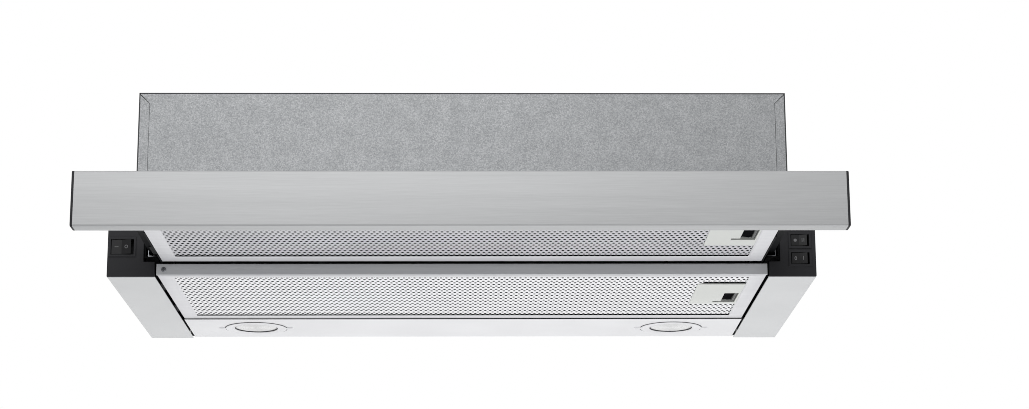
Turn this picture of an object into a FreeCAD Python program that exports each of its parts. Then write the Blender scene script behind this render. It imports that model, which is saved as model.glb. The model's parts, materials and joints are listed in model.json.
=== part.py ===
"""Telescopic under-cabinet range hood, pulled open.

X points right, Y to the wall, Z up.  The origin is the centre of the four
cabinet screw holes, on top of the housing.  All lengths are in millimetres.
"""
import FreeCAD, Part
import math
import os

from FreeCAD import Placement, Rotation, Vector

# Driving dimensions ---------------------------------------------------------
HEIGHT = 169.0          # housing top to the underside of the side arms
HOUSING_W = 562.0
HOUSING_D = 250.0
BODY_W = 598.0          # lower body, with the canopy
BODY_H = 42.0
SETBACK = 26.0          # lower body in front of the housing
SHEET = 1.0
FLANGE = 9.0            # side panel's return on the housing's front
CANOPY_REACH = 180.0    # fascia front to body front, open
FASCIA_H = 44.0
FASCIA_RETURN = 16.0
CAP = 2.0               # fascia end cap thickness
ARM_W = 40.0            # underside of a side arm
BAY = 257.4             # half width between the side arms
SLIDE = 253.4           # half width of the canopy slide
SLIDE_Z = 12.0          # slide underside above the body's underside
SLIDE_TOP = 37.0
WALL_X = 268.4          # inner wall that carries a drawer runner
FILTER_RIM = 13.0
FILTER_H = 8.0
LIGHT_D = 88.0          # light panel
LAMP_X = 195.0
LAMP_R = 28.5
LENS_R = 19.5
COLLAR_R = 59.5         # duct spigot, outside
COLLAR_H = 30.0
COLLAR_Y = 36.0         # its centre, towards the rear
HINGE_GAP = 0.06        # radial clearance of a pivot in its hole
GAP = 0.4               # between parts that move past each other

# Places worked out from them ------------------------------------------------
BOTTOM = -HEIGHT
REAR = HOUSING_D / 2
HOUSING_FRONT = -REAR
FRONT = HOUSING_FRONT - SETBACK
FASCIA_Y = FRONT - CANOPY_REACH
HALF_W = BODY_W / 2
HALF_H = HOUSING_W / 2
ARM_X = HALF_W - ARM_W
DECK_X = WALL_X - 6.4   # inner edge of an arm's top
DECK_Z = BOTTOM + BODY_H
FILTER_Z = BOTTOM + 1.4
BLOWER_Y = COLLAR_Y - 24.0  # fan shaft, along X
BLOWER_Z = BOTTOM + 98.0
SIDES = {"left": -1, "right": 1}
X_AXIS, Z_AXIS = Vector(1, 0, 0), Vector(0, 0, 1)


# Helpers --------------------------------------------------------------------
def box(x, y, z):
    """A box from three (low, high) pairs, in either order."""
    low = Vector(min(x), min(y), min(z))
    return Part.makeBox(max(x) - min(x), max(y) - min(y), max(z) - min(z), low)


def rod(radius, start, end):
    """A cylinder between two points."""
    start, end = Vector(*start), Vector(*end)
    return Part.makeCylinder(radius, start.distanceToPoint(end), start, end - start)


def joined(first, *others):
    """One clean solid from shapes that share faces or volume."""
    return first.fuse(list(others)).removeSplitter()


def prism(points, direction):
    """A straight solid from a closed outline of points."""
    outline = [Vector(*point) for point in points]
    return Part.Face(Part.makePolygon(outline + outline[:1])).extrude(Vector(*direction))


def turned(profile, centre, direction=(0, 0, 1)):
    """A ring turned from (radius, height) points about an axis along Z."""
    outline = [Vector(radius, 0, height) for radius, height in profile]
    solid = Part.Face(Part.makePolygon(outline + outline[:1])).revolve(Vector(), Z_AXIS, 360)
    solid.Placement = Placement(Vector(*centre), Rotation(Z_AXIS, Vector(*direction)))
    return solid


def placed(shape, move=(0, 0, 0), axis=Z_AXIS, angle=0, about=(0, 0, 0)):
    """A copy turned about a line through a point, then moved."""
    copy = shape.copy()
    copy.rotate(Vector(*about), axis, angle)
    copy.translate(Vector(*move))
    return copy


def across(side, near, far):
    """An (x, x) pair on the left (-1) or right (1) side."""
    return side * near, side * far


def save(name, shape):
    """Write one node, as one or more closed solids."""
    solids = shape.Solids
    assert solids and all(solid.isValid() and solid.isClosed() for solid in solids), name
    part = solids[0] if len(solids) == 1 else Part.makeCompound(solids)
    part.exportStep(f"parts/{name}.step")


def screw(head_radius, at, direction, length):
    """A pan-head screw whose head stands on a surface at a point."""
    profile = [(0, -length), (head_radius * 0.5, -length), (head_radius * 0.5, 0), (head_radius, 0),
               (head_radius, 0.8), (head_radius * 0.7, 1.5), (0, 1.5)]
    return turned(profile, at, direction)


# Housing --------------------------------------------------------------------
CABINET_X, CABINET_Y, SCREW_HOLE_R = 215.0, 90.0, 2.25
SIDE_HOLE_Y, SIDE_HOLE_Z = 80.0, -40.0
GLAND_X, GLAND_Y, GLAND_R, CORD_R = 170.0, 85.0, 8.0, 4.2


def housing_wrap():
    """Bent sheet: top, front and rear, the front mitred into the side flanges."""
    top = box((-HALF_H, HALF_H), (-REAR, REAR), (-SHEET, 0))
    inner, mitre = HALF_H - FLANGE - 0.2, FLANGE + 0.2
    outline = [(-inner, HOUSING_FRONT, DECK_Z), (inner, HOUSING_FRONT, DECK_Z),
               (inner, HOUSING_FRONT, -mitre), (HALF_H, HOUSING_FRONT, 0),
               (-HALF_H, HOUSING_FRONT, 0), (-inner, HOUSING_FRONT, -mitre)]
    front = prism(outline, (0, SHEET, 0))
    rear = box((-HALF_H + SHEET, HALF_H - SHEET), (REAR - SHEET, REAR), (DECK_Z, 0))
    apron = box((-DECK_X + GAP, DECK_X - GAP), (REAR - SHEET, REAR), (BOTTOM + 2 * SHEET, DECK_Z))
    shape = joined(top, front, rear, apron)
    shape = shape.cut(rod(COLLAR_R, (0, COLLAR_Y, -2), (0, COLLAR_Y, 1)))
    shape = shape.cut(rod(GLAND_R, (GLAND_X, GLAND_Y, -2), (GLAND_X, GLAND_Y, 1)))
    for x in (-CABINET_X, CABINET_X):
        for y in (-CABINET_Y, CABINET_Y):
            shape = shape.cut(rod(SCREW_HOLE_R, (x, y, -2), (x, y, 1)))
    return shape


def housing_side(side):
    """Side panel with its front return, cut at 45 degrees at the top."""
    outer, inner = HALF_H, HALF_H - FLANGE
    panel = box(across(side, outer - SHEET, outer), (HOUSING_FRONT, REAR - SHEET), (DECK_Z, -SHEET))
    outline = [(side * inner, HOUSING_FRONT, DECK_Z), (side * outer, HOUSING_FRONT, DECK_Z),
               (side * outer, HOUSING_FRONT, -SHEET), (side * inner, HOUSING_FRONT, -FLANGE - 0.6)]
    shape = joined(panel, prism(outline, (0, SHEET, 0))).cut(housing_wrap())
    for y in (-SIDE_HOLE_Y, SIDE_HOLE_Y):
        shape = shape.cut(rod(SCREW_HOLE_R, (side * (outer - 3), y, SIDE_HOLE_Z),
                              (side * (outer + 1), y, SIDE_HOLE_Z)))
    return shape


def front_deck():
    """Strip that closes the lower body in front of the housing."""
    span = (-DECK_X, DECK_X)
    top = box(span, (FRONT + 2, HOUSING_FRONT + SHEET), (DECK_Z - SHEET, DECK_Z))
    lip = box(span, (FRONT + 2, FRONT + 3), (DECK_Z - 3, DECK_Z))
    return joined(top, lip)


# Lower body -----------------------------------------------------------------
FACE_D = 3.0            # front plate of a switch box
LEAD_R, LEAD_BEND, LEAD_X, LEAD_Y = 2.0, 9.0, 275.0, 112.0


def side_arm(side):
    """Channel open towards the middle: underside, outer wall, top and rear end."""
    along = (FRONT + FACE_D, REAR)
    under = box(across(side, ARM_X, HALF_W), along, (BOTTOM, BOTTOM + SHEET))
    wall = box(across(side, HALF_W - SHEET, HALF_W), along, (BOTTOM, DECK_Z))
    top = box(across(side, DECK_X, HALF_W), along, (DECK_Z - SHEET, DECK_Z))
    end = box(across(side, DECK_X, HALF_W), (REAR - SHEET, REAR), (BOTTOM, DECK_Z))
    lead_hole = rod(LEAD_R + 1, (side * LEAD_X, LEAD_Y, DECK_Z - 2), (side * LEAD_X, LEAD_Y, DECK_Z + 1))
    return joined(under, wall, top, end).cut(lead_hole)


def inner_wall(side):
    """Upright inside an arm, with a foot on the arm's underside."""
    along = (FRONT + FACE_D, REAR - SHEET)
    wall = box(across(side, WALL_X, WALL_X + SHEET), along, (BOTTOM + SHEET, DECK_Z - SHEET))
    foot = box(across(side, WALL_X, WALL_X + 9), along, (BOTTOM + SHEET, BOTTOM + 2 * SHEET))
    return joined(wall, foot)


RAIL_D, RAIL_LOW, RAIL_HIGH, RAIL_SCREW_X = 3.0, 1.5, 11.0, 251.3


def front_cross_rail():
    """Aluminium bar across the bay's front, over the switch boxes' lower tabs."""
    rail = box((-BAY, BAY), (FRONT, FRONT + RAIL_D), (BOTTOM + RAIL_LOW, BOTTOM + RAIL_HIGH))
    edges = [edge for edge in rail.Edges if abs(edge.BoundBox.XLength - 2 * BAY) < 0.1
             and edge.BoundBox.YMax < FRONT + 0.1]
    return rail.makeFillet(0.6, edges)


def light_panel():
    """Rear underside panel with turned-up edges and two lamp holes."""
    y_front, low = REAR - LIGHT_D, BOTTOM + SHEET
    floor = box((-BAY, BAY), (y_front, REAR - SHEET), (low, low + SHEET))
    front = box((-BAY, BAY), (y_front, y_front + SHEET), (low, low + 10))
    rear = box((-BAY, BAY), (REAR - 2 * SHEET, REAR - SHEET), (low, BOTTOM + 30))
    shape = joined(floor, front, rear)
    for x in (-LAMP_X, LAMP_X):
        shape = shape.cut(rod(LAMP_HOLE_R, (x, LAMP_Y, low - 1), (x, LAMP_Y, low + 2)))
    return shape


# Lamps ----------------------------------------------------------------------
LAMP_Y = REAR - LIGHT_D / 2
LAMP_HOLE_R = 25.0
LAMP_Z = BOTTOM + 0.3
MODULE_R = 20.0         # the module's heat sink
EAR_REACH, EAR_W = 6.0, 7.0


def lamp_ring(side):
    """Turned bezel: a rim and two ears under the panel, a dished face and a tube in the hole."""
    x, rim = side * LAMP_X, BOTTOM + SHEET - LAMP_Z
    profile = [(LENS_R + 0.1, 1.4), (LENS_R + 1.2, 0.9), (LAMP_R - 4, 0.0), (LAMP_R - 0.4, 0.0),
               (LAMP_R, 0.3), (LAMP_R, rim), (LAMP_HOLE_R - 0.3, rim), (LAMP_HOLE_R - 0.3, 8.0),
               (LAMP_HOLE_R - 1.5, 8.0), (LAMP_HOLE_R - 1.5, 3.4), (LENS_R + 0.1, 3.4)]
    ring = turned(profile, (x, LAMP_Y, LAMP_Z))
    ears = [box((x + way * (LAMP_R - 1), x + way * (LAMP_R + EAR_REACH)),
                (LAMP_Y - EAR_W / 2, LAMP_Y + EAR_W / 2), (LAMP_Z + 0.1, LAMP_Z + rim)) for way in (-1, 1)]
    return joined(ring, *ears)


def lamp_lens(side):
    """Round diffuser that drops into the ring from above."""
    profile = [(0, 1.0), (LENS_R - 1.5, 1.0), (LENS_R - 0.1, 1.6), (LENS_R - 0.1, 3.4),
               (LENS_R + 2, 3.4), (LENS_R + 2, 4.6), (0, 4.6)]
    return turned(profile, (side * LAMP_X, LAMP_Y, LAMP_Z))


def led_module(side):
    """Round module with a finned heat sink, clipped into the ring's tube."""
    centre = (side * LAMP_X, LAMP_Y, LAMP_Z)
    outer = LAMP_HOLE_R - 1.8
    module = turned([(0, 4.8), (outer, 4.8), (outer, 9.0), (MODULE_R, 12.0), (MODULE_R, 20.0),
                     (0, 20.0)], centre)
    for index in range(6):
        x = side * LAMP_X + (index - 2.5) * 6.4
        module = module.cut(box((x - 1.5, x + 1.5), (LAMP_Y - 22, LAMP_Y + 22),
                                (LAMP_Z + 14, LAMP_Z + 21)))
    return module


# Switch boxes and rocker switches -------------------------------------------
BOX_X = 268.5           # inner edge of a switch box's upper front
TAB_X = 259.0           # inner edge of its lower tab
TAB_H = 12.8
SWITCHES = {            # side, centre x and height, bezel width and height, joint
    "light": (-1, 286.6, 25.5, 23.6, 17.6),
    "fan": (1, 285.6, 30.9, 20.0, 14.6),
    "speed": (1, 285.6, 15.3, 20.0, 14.6),
}
BEZEL_D, BEZEL_RIM, SWITCH_D = 1.0, 2.2, 18.0
ROCKER_TILT, ROCKER_D, ROCKER_GAP, PIVOT_R = 8.0, 3.5, 1.2, 1.0


def switch_frame(name):
    """Centre and half sizes of a switch's bezel on the body's front plane."""
    side, x, height, width, tall = SWITCHES[name]
    return side * x, BOTTOM + height, width / 2, tall / 2


def switch_box(side):
    """Moulded plug in the arm's front: face plate with a lower tab, and four walls."""
    y_face, low, high = (FRONT, FRONT + FACE_D), BOTTOM, DECK_Z
    face = box(across(side, BOX_X, HALF_W), y_face, (low, high))
    tab = box(across(side, TAB_X, BOX_X), y_face, (low, low + TAB_H))
    x_in, x_out = WALL_X + SHEET + 0.2, HALF_W - SHEET - 0.2
    y_tray = (FRONT + FACE_D, FRONT + 40)
    z_tray = (BOTTOM + 2 * SHEET + 0.2, DECK_Z - SHEET - 0.2)
    tray = box(across(side, x_in, x_out), y_tray, z_tray)
    hollow = box(across(side, x_in + 1.2, x_out - 1.2), (FRONT + FACE_D, FRONT + 41),
                 (z_tray[0] + 1.2, z_tray[1] - 1.2))
    shape = joined(face, tab, tray.cut(hollow))
    for name, (own_side, *_) in SWITCHES.items():
        if own_side == side:
            x, z, half_w, half_h = switch_frame(name)
            shape = shape.cut(box((x - half_w + 1, x + half_w - 1), (FRONT - 1, FRONT + SWITCH_D + 1),
                                  (z - half_h + 1, z + half_h - 1)))
    return shape


def switch_body(name):
    """Bezel on the face plate and a case behind it that holds the pivot."""
    x, z, half_w, half_h = switch_frame(name)
    bezel = box((x - half_w, x + half_w), (FRONT - BEZEL_D, FRONT), (z - half_h, z + half_h))
    edges = [edge for edge in bezel.Edges if edge.BoundBox.YMax < FRONT - BEZEL_D + 0.1]
    bezel = bezel.makeChamfer(0.6, edges)
    case_w, case_h = half_w - 1, half_h - 1
    case = box((x - case_w, x + case_w), (FRONT, FRONT + SWITCH_D), (z - case_h, z + case_h))
    well = box((x - half_w + BEZEL_RIM, x + half_w - BEZEL_RIM), (FRONT - 2, FRONT + 10),
               (z - half_h + BEZEL_RIM, z + half_h - BEZEL_RIM))
    reach = half_h - BEZEL_RIM + 0.9
    hole = rod(PIVOT_R + HINGE_GAP, (x, FRONT + ROCKER_D, z - reach), (x, FRONT + ROCKER_D, z + reach))
    terminals = [box((x + offset - 0.4, x + offset + 0.4), (FRONT + SWITCH_D, FRONT + SWITCH_D + 8),
                     (z - 2.4, z + 2.4)) for offset in (-4.0, 4.0)]
    return joined(joined(bezel, case).cut(well).cut(hole), *terminals)


def rocker(name):
    """Two-way rocker: a shallow V face with tapered flanks on a pivot pin."""
    x, z, half_w, half_h = switch_frame(name)
    half_w, half_h = half_w - BEZEL_RIM - ROCKER_GAP, half_h - BEZEL_RIM - GAP
    slope = half_w * math.tan(math.radians(ROCKER_TILT))
    y_mid, y_back, x_back = FRONT - 0.6, FRONT + ROCKER_D + 2, half_w * 0.7
    outline = [(x - half_w, y_mid - slope, 0), (x, y_mid, 0), (x + half_w, y_mid - slope, 0),
               (x + x_back, y_back, 0), (x - x_back, y_back, 0)]
    body = prism(outline, (0, 0, 2 * half_h))
    body.translate(Vector(0, 0, z - half_h))
    reach = half_h + GAP + 0.7
    pin = rod(PIVOT_R, (x, FRONT + ROCKER_D, z - reach), (x, FRONT + ROCKER_D, z + reach))
    return placed(joined(body, pin), axis=Z_AXIS, angle=-ROCKER_TILT, about=(x, FRONT + ROCKER_D, z))


# Drawer runners -------------------------------------------------------------
RUN_LOW, RUN_HIGH, RUN_T = BOTTOM + 17, BOTTOM + 36, 1.2
INNER_LOW, INNER_HIGH = RUN_LOW + 4.6, RUN_HIGH - 4.6
INNER_FAR = 264.0       # outer edge of the moving member's flanges
BALL_X, BALL_R = 261.5, 1.4
BALLS, BALL_STEP = 8, 8.0
OUTER_Y = (FRONT + FACE_D + 1, REAR - 15)
INNER_Y = (FASCIA_Y + 32, FRONT + 89)
CAGE_Y = (FRONT + 10, FRONT + 76)


def channel(side, web, flange, y, z, thick):
    """A channel with its web at one x and its flanges reaching to another."""
    sign = 1 if flange > web else -1
    wall = box(across(side, web, web + sign * thick), y, z)
    low = box(across(side, web, flange), y, (z[0], z[0] + thick))
    high = box(across(side, web, flange), y, (z[1] - thick, z[1]))
    return joined(wall, low, high)


def ball_cage(side):
    """Thin channel with two rows of bearing balls in its holes."""
    middle = (RUN_LOW + RUN_T + INNER_LOW) / 2, (RUN_HIGH - RUN_T + INNER_HIGH) / 2
    z_rows = (middle[0] - 0.3, middle[1] + 0.3)
    cage = channel(side, INNER_FAR + 2.2, BALL_X - 2.6, CAGE_Y, z_rows, 0.6)
    balls = []
    for row in (middle[0], middle[1]):
        for index in range(BALLS):
            y = CAGE_Y[0] + 5 + index * BALL_STEP
            centre = Vector(side * BALL_X, y, row)
            cage = cage.cut(rod(BALL_R + 0.1, (centre.x, y, row - 1), (centre.x, y, row + 1)))
            balls.append(Part.makeSphere(BALL_R, centre))
    return Part.makeCompound(cage.Solids + balls)


# Canopy slide ---------------------------------------------------------------
SLIDE_FRONT, SLIDE_REAR = FASCIA_Y + SHEET, FRONT + 89
WINDOW_Y = (FRONT + 10, SLIDE_REAR - 14)


def slide_side(side):
    """Side of the slide: an upright with a top shelf and a front tab."""
    web = box(across(side, SLIDE - SHEET, SLIDE), (SLIDE_FRONT, SLIDE_REAR),
              (BOTTOM + SLIDE_Z, BOTTOM + SLIDE_TOP))
    shelf = box(across(side, SLIDE - 14, SLIDE), (SLIDE_FRONT, SLIDE_REAR),
                (BOTTOM + SLIDE_TOP - SHEET, BOTTOM + SLIDE_TOP))
    tab = box(across(side, SLIDE - SHEET, SLIDE + 13), (SLIDE_FRONT, SLIDE_FRONT + SHEET),
              (BOTTOM + SLIDE_Z, BOTTOM + SLIDE_TOP))
    shape = joined(web, shelf, tab)
    if side < 0:
        for y in FRONT_FILTER.hook_places():
            shape = shape.cut(box(across(side, SLIDE - 2, SLIDE + 1), y,
                                  (BOTTOM + SLIDE_Z - 1, BOTTOM + SLIDE_Z + 6.5)))
    else:
        shape = shape.cut(box((SLIDE - 2, SLIDE + 1), FRONT_FILTER.bolt_place(),
                              (BOTTOM + SLIDE_Z - 1, BOTTOM + SLIDE_Z + FILTER_H)))
    return shape


def slide_top_plate():
    """Cover over the front filter, with an air window near its rear bar."""
    plate = box((-SLIDE, SLIDE), (SLIDE_FRONT, SLIDE_REAR),
                (BOTTOM + SLIDE_TOP, BOTTOM + SLIDE_TOP + SHEET))
    window = box((-SLIDE + 18, SLIDE - 18), WINDOW_Y, (BOTTOM, 0))
    return plate.cut(window)


def fascia():
    """Long channel, open to the rear."""
    half, deep = HALF_W - CAP, FASCIA_Y + FASCIA_RETURN
    front = box((-half, half), (FASCIA_Y, FASCIA_Y + SHEET), (BOTTOM, BOTTOM + FASCIA_H))
    low = box((-half, half), (FASCIA_Y, deep), (BOTTOM, BOTTOM + SHEET))
    high = box((-half, half), (FASCIA_Y, deep), (BOTTOM + FASCIA_H - SHEET, BOTTOM + FASCIA_H))
    shape = joined(front, low, high)
    edges = [edge for edge in shape.Edges
             if edge.BoundBox.XLength > 2 * half - 1 and edge.BoundBox.YMax < FASCIA_Y + 0.1]
    return shape.makeFillet(0.8, edges)


def fascia_cap(side):
    """End cap: a plate with a plug that fits in the channel."""
    plate = box(across(side, HALF_W - CAP, HALF_W), (FASCIA_Y, FASCIA_Y + FASCIA_RETURN),
                (BOTTOM, BOTTOM + FASCIA_H))
    plug = box(across(side, HALF_W - CAP - 8, HALF_W - CAP), (FASCIA_Y + 1.4, FASCIA_Y + FASCIA_RETURN - 2),
               (BOTTOM + 1.4, BOTTOM + FASCIA_H - 1.4))
    hollow = box(across(side, HALF_W - CAP - 9, HALF_W - CAP), (FASCIA_Y + 3, FASCIA_Y + FASCIA_RETURN),
                 (BOTTOM + 3, BOTTOM + FASCIA_H - 3))
    return joined(plate, plug.cut(hollow))


# Grease filters -------------------------------------------------------------
class Filter:
    """A cassette: rim with hooks, perforated sheets, latch plate, latch and spring."""

    PLATE_W, PLATE_D = 41.5, 82.0
    POCKET_W, POCKET_D, POCKET_WALL = 12.5, 38.6, 1.8
    NOTCH_W, NOTCH_D = 7.0, 5.0
    HOOK_W, HOOK_REACH = 26.0, 4.6
    BOLT_W, BOLT_REACH = 12.0, 1.0

    def __init__(self, half_w, y, low, front_rim, rear_rim, plate_rear, pocket_rear):
        self.half_w, self.y, self.low = half_w, y, low
        self.mesh_y = y[0] + front_rim, y[1] - rear_rim
        self.plate_y = plate_rear - self.PLATE_D, plate_rear
        self.pocket_y = pocket_rear - self.POCKET_D, pocket_rear
        self.bolt_y = sum(self.pocket_y) / 2
        edge = half_w - FILTER_RIM
        self.plate_x = edge - self.PLATE_W, edge
        self.pocket_x = edge - self.POCKET_WALL - self.POCKET_W, edge - self.POCKET_WALL

    def hook_places(self):
        """Y ranges of the slots that clear the two hooks."""
        third = (self.y[1] - self.y[0]) / 4
        centres = (self.y[0] + third, self.y[1] - third)
        return [(centre - self.HOOK_W / 2 - 1, centre + self.HOOK_W / 2 + 1) for centre in centres]

    def bolt_place(self):
        """Y range of the notch that clears the latch bolt."""
        return self.bolt_y - self.BOLT_W / 2 - 1, self.bolt_y + self.BOLT_W / 2 + 1

    def frame(self):
        """Rolled aluminium rim, a channel open to the middle, with hooks on the left."""
        outer = box((-self.half_w, self.half_w), self.y, (self.low, self.low + FILTER_H))
        window_x = (-self.half_w + FILTER_RIM, self.half_w - FILTER_RIM)
        rim = outer.cut(box(window_x, self.mesh_y, (self.low - 1, self.low + FILTER_H + 1)))
        rim = rim.cut(box((-self.half_w + SHEET, self.half_w - SHEET),
                          (self.y[0] + SHEET, self.y[1] - SHEET),
                          (self.low + 0.8, self.low + FILTER_H - 0.8)))
        hooks = [box((-self.half_w - self.HOOK_REACH, -self.half_w + 2), (start + 1, end - 1),
                     (self.low, self.low + 0.8)) for start, end in self.hook_places()]
        shape = joined(rim, *hooks)
        return shape.cut(box((self.half_w - 2, self.half_w + 1), self.bolt_place(),
                             (self.low + 2.4, self.low + 6.2)))

    def mesh(self):
        """Two perforated faces and the folded mesh pads between them, drawn as sheets."""
        margin = 3.0
        x = (-self.half_w + FILTER_RIM - margin, self.half_w - FILTER_RIM + margin)
        y = (self.mesh_y[0] - margin, self.mesh_y[1] + margin)
        hole = box((self.plate_x[0] - 0.3, self.half_w), (self.plate_y[0] - 0.3, self.plate_y[1] + 0.3),
                   (self.low - 1, self.low + FILTER_H + 1))
        sheets = [box(x, y, (self.low + height, self.low + height + 0.5)).cut(hole)
                  for height in (0.8, 3.6, 6.7)]
        return Part.makeCompound(sheets)

    def latch_plate(self):
        """Moulded plate with a pocket for a finger and a track for the latch."""
        x_end = self.half_w - FILTER_RIM - 0.2
        plate = box((self.plate_x[0], x_end), self.plate_y, (self.low + 0.2, self.low + 1.6))
        pocket = box((self.pocket_x[0] - 1, x_end), (self.pocket_y[0] - 1, self.pocket_y[1] + 1),
                     (self.low + 0.2, self.low + FILTER_H - 0.3))
        void = box(self.pocket_x, self.pocket_y,
                   (self.low - 1, self.low + FILTER_H - 1.3))
        track = box((self.pocket_x[0] + 5, x_end + 1),
                    (self.bolt_y - self.BOLT_W / 2 - GAP, self.bolt_y + self.BOLT_W / 2 + GAP),
                    (self.low + 2.6, self.low + 6.0))
        notch = box((self.pocket_x[0] - self.NOTCH_W, self.pocket_x[0]),
                    (self.pocket_y[1] - self.NOTCH_D, self.pocket_y[1]), (self.low, self.low + 2))
        return joined(plate, pocket).cut(void).cut(track).cut(notch)

    def latch(self):
        """Sliding bolt with a finger grip that stands in the pocket."""
        grip_x = (self.pocket_x[1] - 3.0, self.pocket_x[1] - 0.8)
        grip = box(grip_x, (self.pocket_y[0] + 2, self.pocket_y[1] - 2), (self.low + 1.0, self.low + 6.2))
        bolt = box((grip_x[0], self.half_w + self.BOLT_REACH),
                   (self.bolt_y - self.BOLT_W / 2, self.bolt_y + self.BOLT_W / 2),
                   (self.low + 3.0, self.low + 5.6))
        return joined(grip, bolt)

    def spring(self):
        """Leaf spring folded to and fro between the pocket's far wall and the grip."""
        start, end = self.pocket_x[0] + 0.2, self.pocket_x[1] - 3.3
        leaves, thick, wide = 5, 0.3, 3.0
        step = (end - start - thick) / (leaves - 1)
        z = (self.low + 3.4, self.low + 5.2)
        pieces = []
        for index in range(leaves):
            x, side = start + index * step, (-1) ** index
            pieces.append(box((x, x + thick), (self.bolt_y - wide, self.bolt_y + wide), z))
            if index < leaves - 1:
                bend = self.bolt_y + side * wide
                pieces.append(box((x, x + step + thick), (bend - side * thick, bend), z))
        return joined(*pieces)


REAR_FILTER = Filter(half_w=BAY - 0.6, y=(FRONT + RAIL_D + GAP, REAR - LIGHT_D - GAP), low=FILTER_Z,
                     front_rim=7.5, rear_rim=FILTER_RIM, plate_rear=REAR - 153, pocket_rear=REAR - 159.4)
FRONT_FILTER = Filter(half_w=SLIDE - SHEET - GAP, y=(FASCIA_Y + FASCIA_RETURN + 2, FRONT - 4),
                      low=BOTTOM + SLIDE_Z, front_rim=FILTER_RIM, rear_rim=18.0,
                      plate_rear=FRONT - 61.4, pocket_rear=FRONT - 81)


# Blower ---------------------------------------------------------------------
SCROLL_HALF, INLET_R, IMPELLER_R = 48.0, 36.0, 42.0
SHAFT_R, MOTOR_X, MOTOR_R, MOTOR_L = 4.0, 72.0, 36.0, 55.0
BLADES = 32


def scroll_outline(inset):
    """Spiral that grows from the tongue, round to the rear, then straight up."""
    start_angle, end_angle, steps = 103.0, 360.0, 8
    start_r, end_r = 46.0 - inset, 58.0 - inset
    spiral = []
    for index in range(steps + 1):
        part = index / steps
        angle = math.radians(start_angle + (end_angle - start_angle) * part)
        radius = start_r + (end_r - start_r) * part
        spiral.append(Vector(0, BLOWER_Y + radius * math.cos(angle), BLOWER_Z + radius * math.sin(angle)))
    curve = Part.BSplineCurve()
    curve.interpolate(spiral)
    top = -SHEET
    corners = [spiral[-1], Vector(0, spiral[-1].y, top), Vector(0, spiral[0].y, top), spiral[0]]
    lines = [Part.makeLine(first, second) for first, second in zip(corners, corners[1:])]
    return Part.Face(Part.Wire([curve.toShape()] + lines))


def scroll_housing():
    """Volute shell with an inlet in each cheek and its mouth at the housing's top."""
    wall = 1.5
    outer = scroll_outline(0).extrude(Vector(2 * SCROLL_HALF, 0, 0))
    inner = scroll_outline(wall).extrude(Vector(2 * (SCROLL_HALF - wall), 0, 0))
    outer.translate(Vector(-SCROLL_HALF, 0, 0))
    inner.translate(Vector(wall - SCROLL_HALF, 0, 0))
    inlet = rod(INLET_R, (-SCROLL_HALF - 1, BLOWER_Y, BLOWER_Z), (SCROLL_HALF + 1, BLOWER_Y, BLOWER_Z))
    return outer.cut(inner).cut(inlet)


def impeller():
    """Double squirrel-cage wheel: hub, centre disc, blades and two end rings."""
    reach = SCROLL_HALF - 5
    centre = (0, BLOWER_Y, BLOWER_Z)
    along = (1, 0, 0)
    disc = turned([(SHAFT_R, -8), (9, -8), (9, -1), (IMPELLER_R, -1), (IMPELLER_R, 1), (9, 1), (9, 8),
                   (SHAFT_R, 8)], centre, along)
    rings = [turned([(IMPELLER_R - 8, z), (IMPELLER_R, z), (IMPELLER_R, z + 1.5), (IMPELLER_R - 8, z + 1.5)],
                    centre, along) for z in (-reach, reach - 1.5)]
    blade = box((-reach, reach), (BLOWER_Y - 0.4, BLOWER_Y + 0.4),
                (BLOWER_Z + IMPELLER_R - 8, BLOWER_Z + IMPELLER_R - 0.4))
    blade = placed(blade, axis=X_AXIS, angle=24, about=(0, BLOWER_Y, BLOWER_Z + IMPELLER_R - 4))
    blades = [placed(blade, axis=X_AXIS, angle=360 * index / BLADES, about=centre)
              for index in range(BLADES)]
    return joined(disc, *rings, *blades)


def motor_shaft():
    """Shaft through the motor and the impeller's hub."""
    return rod(SHAFT_R, (-12, BLOWER_Y, BLOWER_Z), (MOTOR_X + MOTOR_L + 4, BLOWER_Y, BLOWER_Z))


def motor():
    """Capacitor-run motor can with its two bearing bosses."""
    bore = SHAFT_R + HINGE_GAP
    profile = [(bore, -6), (11, -6), (11, 0), (MOTOR_R - 3, 0), (MOTOR_R, 3), (MOTOR_R, MOTOR_L - 3),
               (MOTOR_R - 3, MOTOR_L), (11, MOTOR_L), (11, MOTOR_L + 2), (bore, MOTOR_L + 2)]
    return turned(profile, (MOTOR_X, BLOWER_Y, BLOWER_Z), (1, 0, 0))


def motor_bracket():
    """Ring on the inlet and three arms that carry the motor."""
    ring = turned([(INLET_R + 1, 0), (INLET_R + 9, 0), (INLET_R + 9, 2), (INLET_R + 1, 2)],
                  (SCROLL_HALF, BLOWER_Y, BLOWER_Z), (1, 0, 0))
    arm = box((SCROLL_HALF, MOTOR_X + 12), (BLOWER_Y - 5, BLOWER_Y + 5),
              (BLOWER_Z + MOTOR_R, BLOWER_Z + MOTOR_R + 3))
    arms = [placed(arm, axis=X_AXIS, angle=60 + 120 * index, about=(0, BLOWER_Y, BLOWER_Z))
            for index in range(3)]
    return joined(ring, *arms).cut(motor())


# Outlet and electrics -------------------------------------------------------
FLAP_X, FLAP_Z, FLAP_R, STUB_R = 5.0, 9.0, 56.2, 1.5


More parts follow.
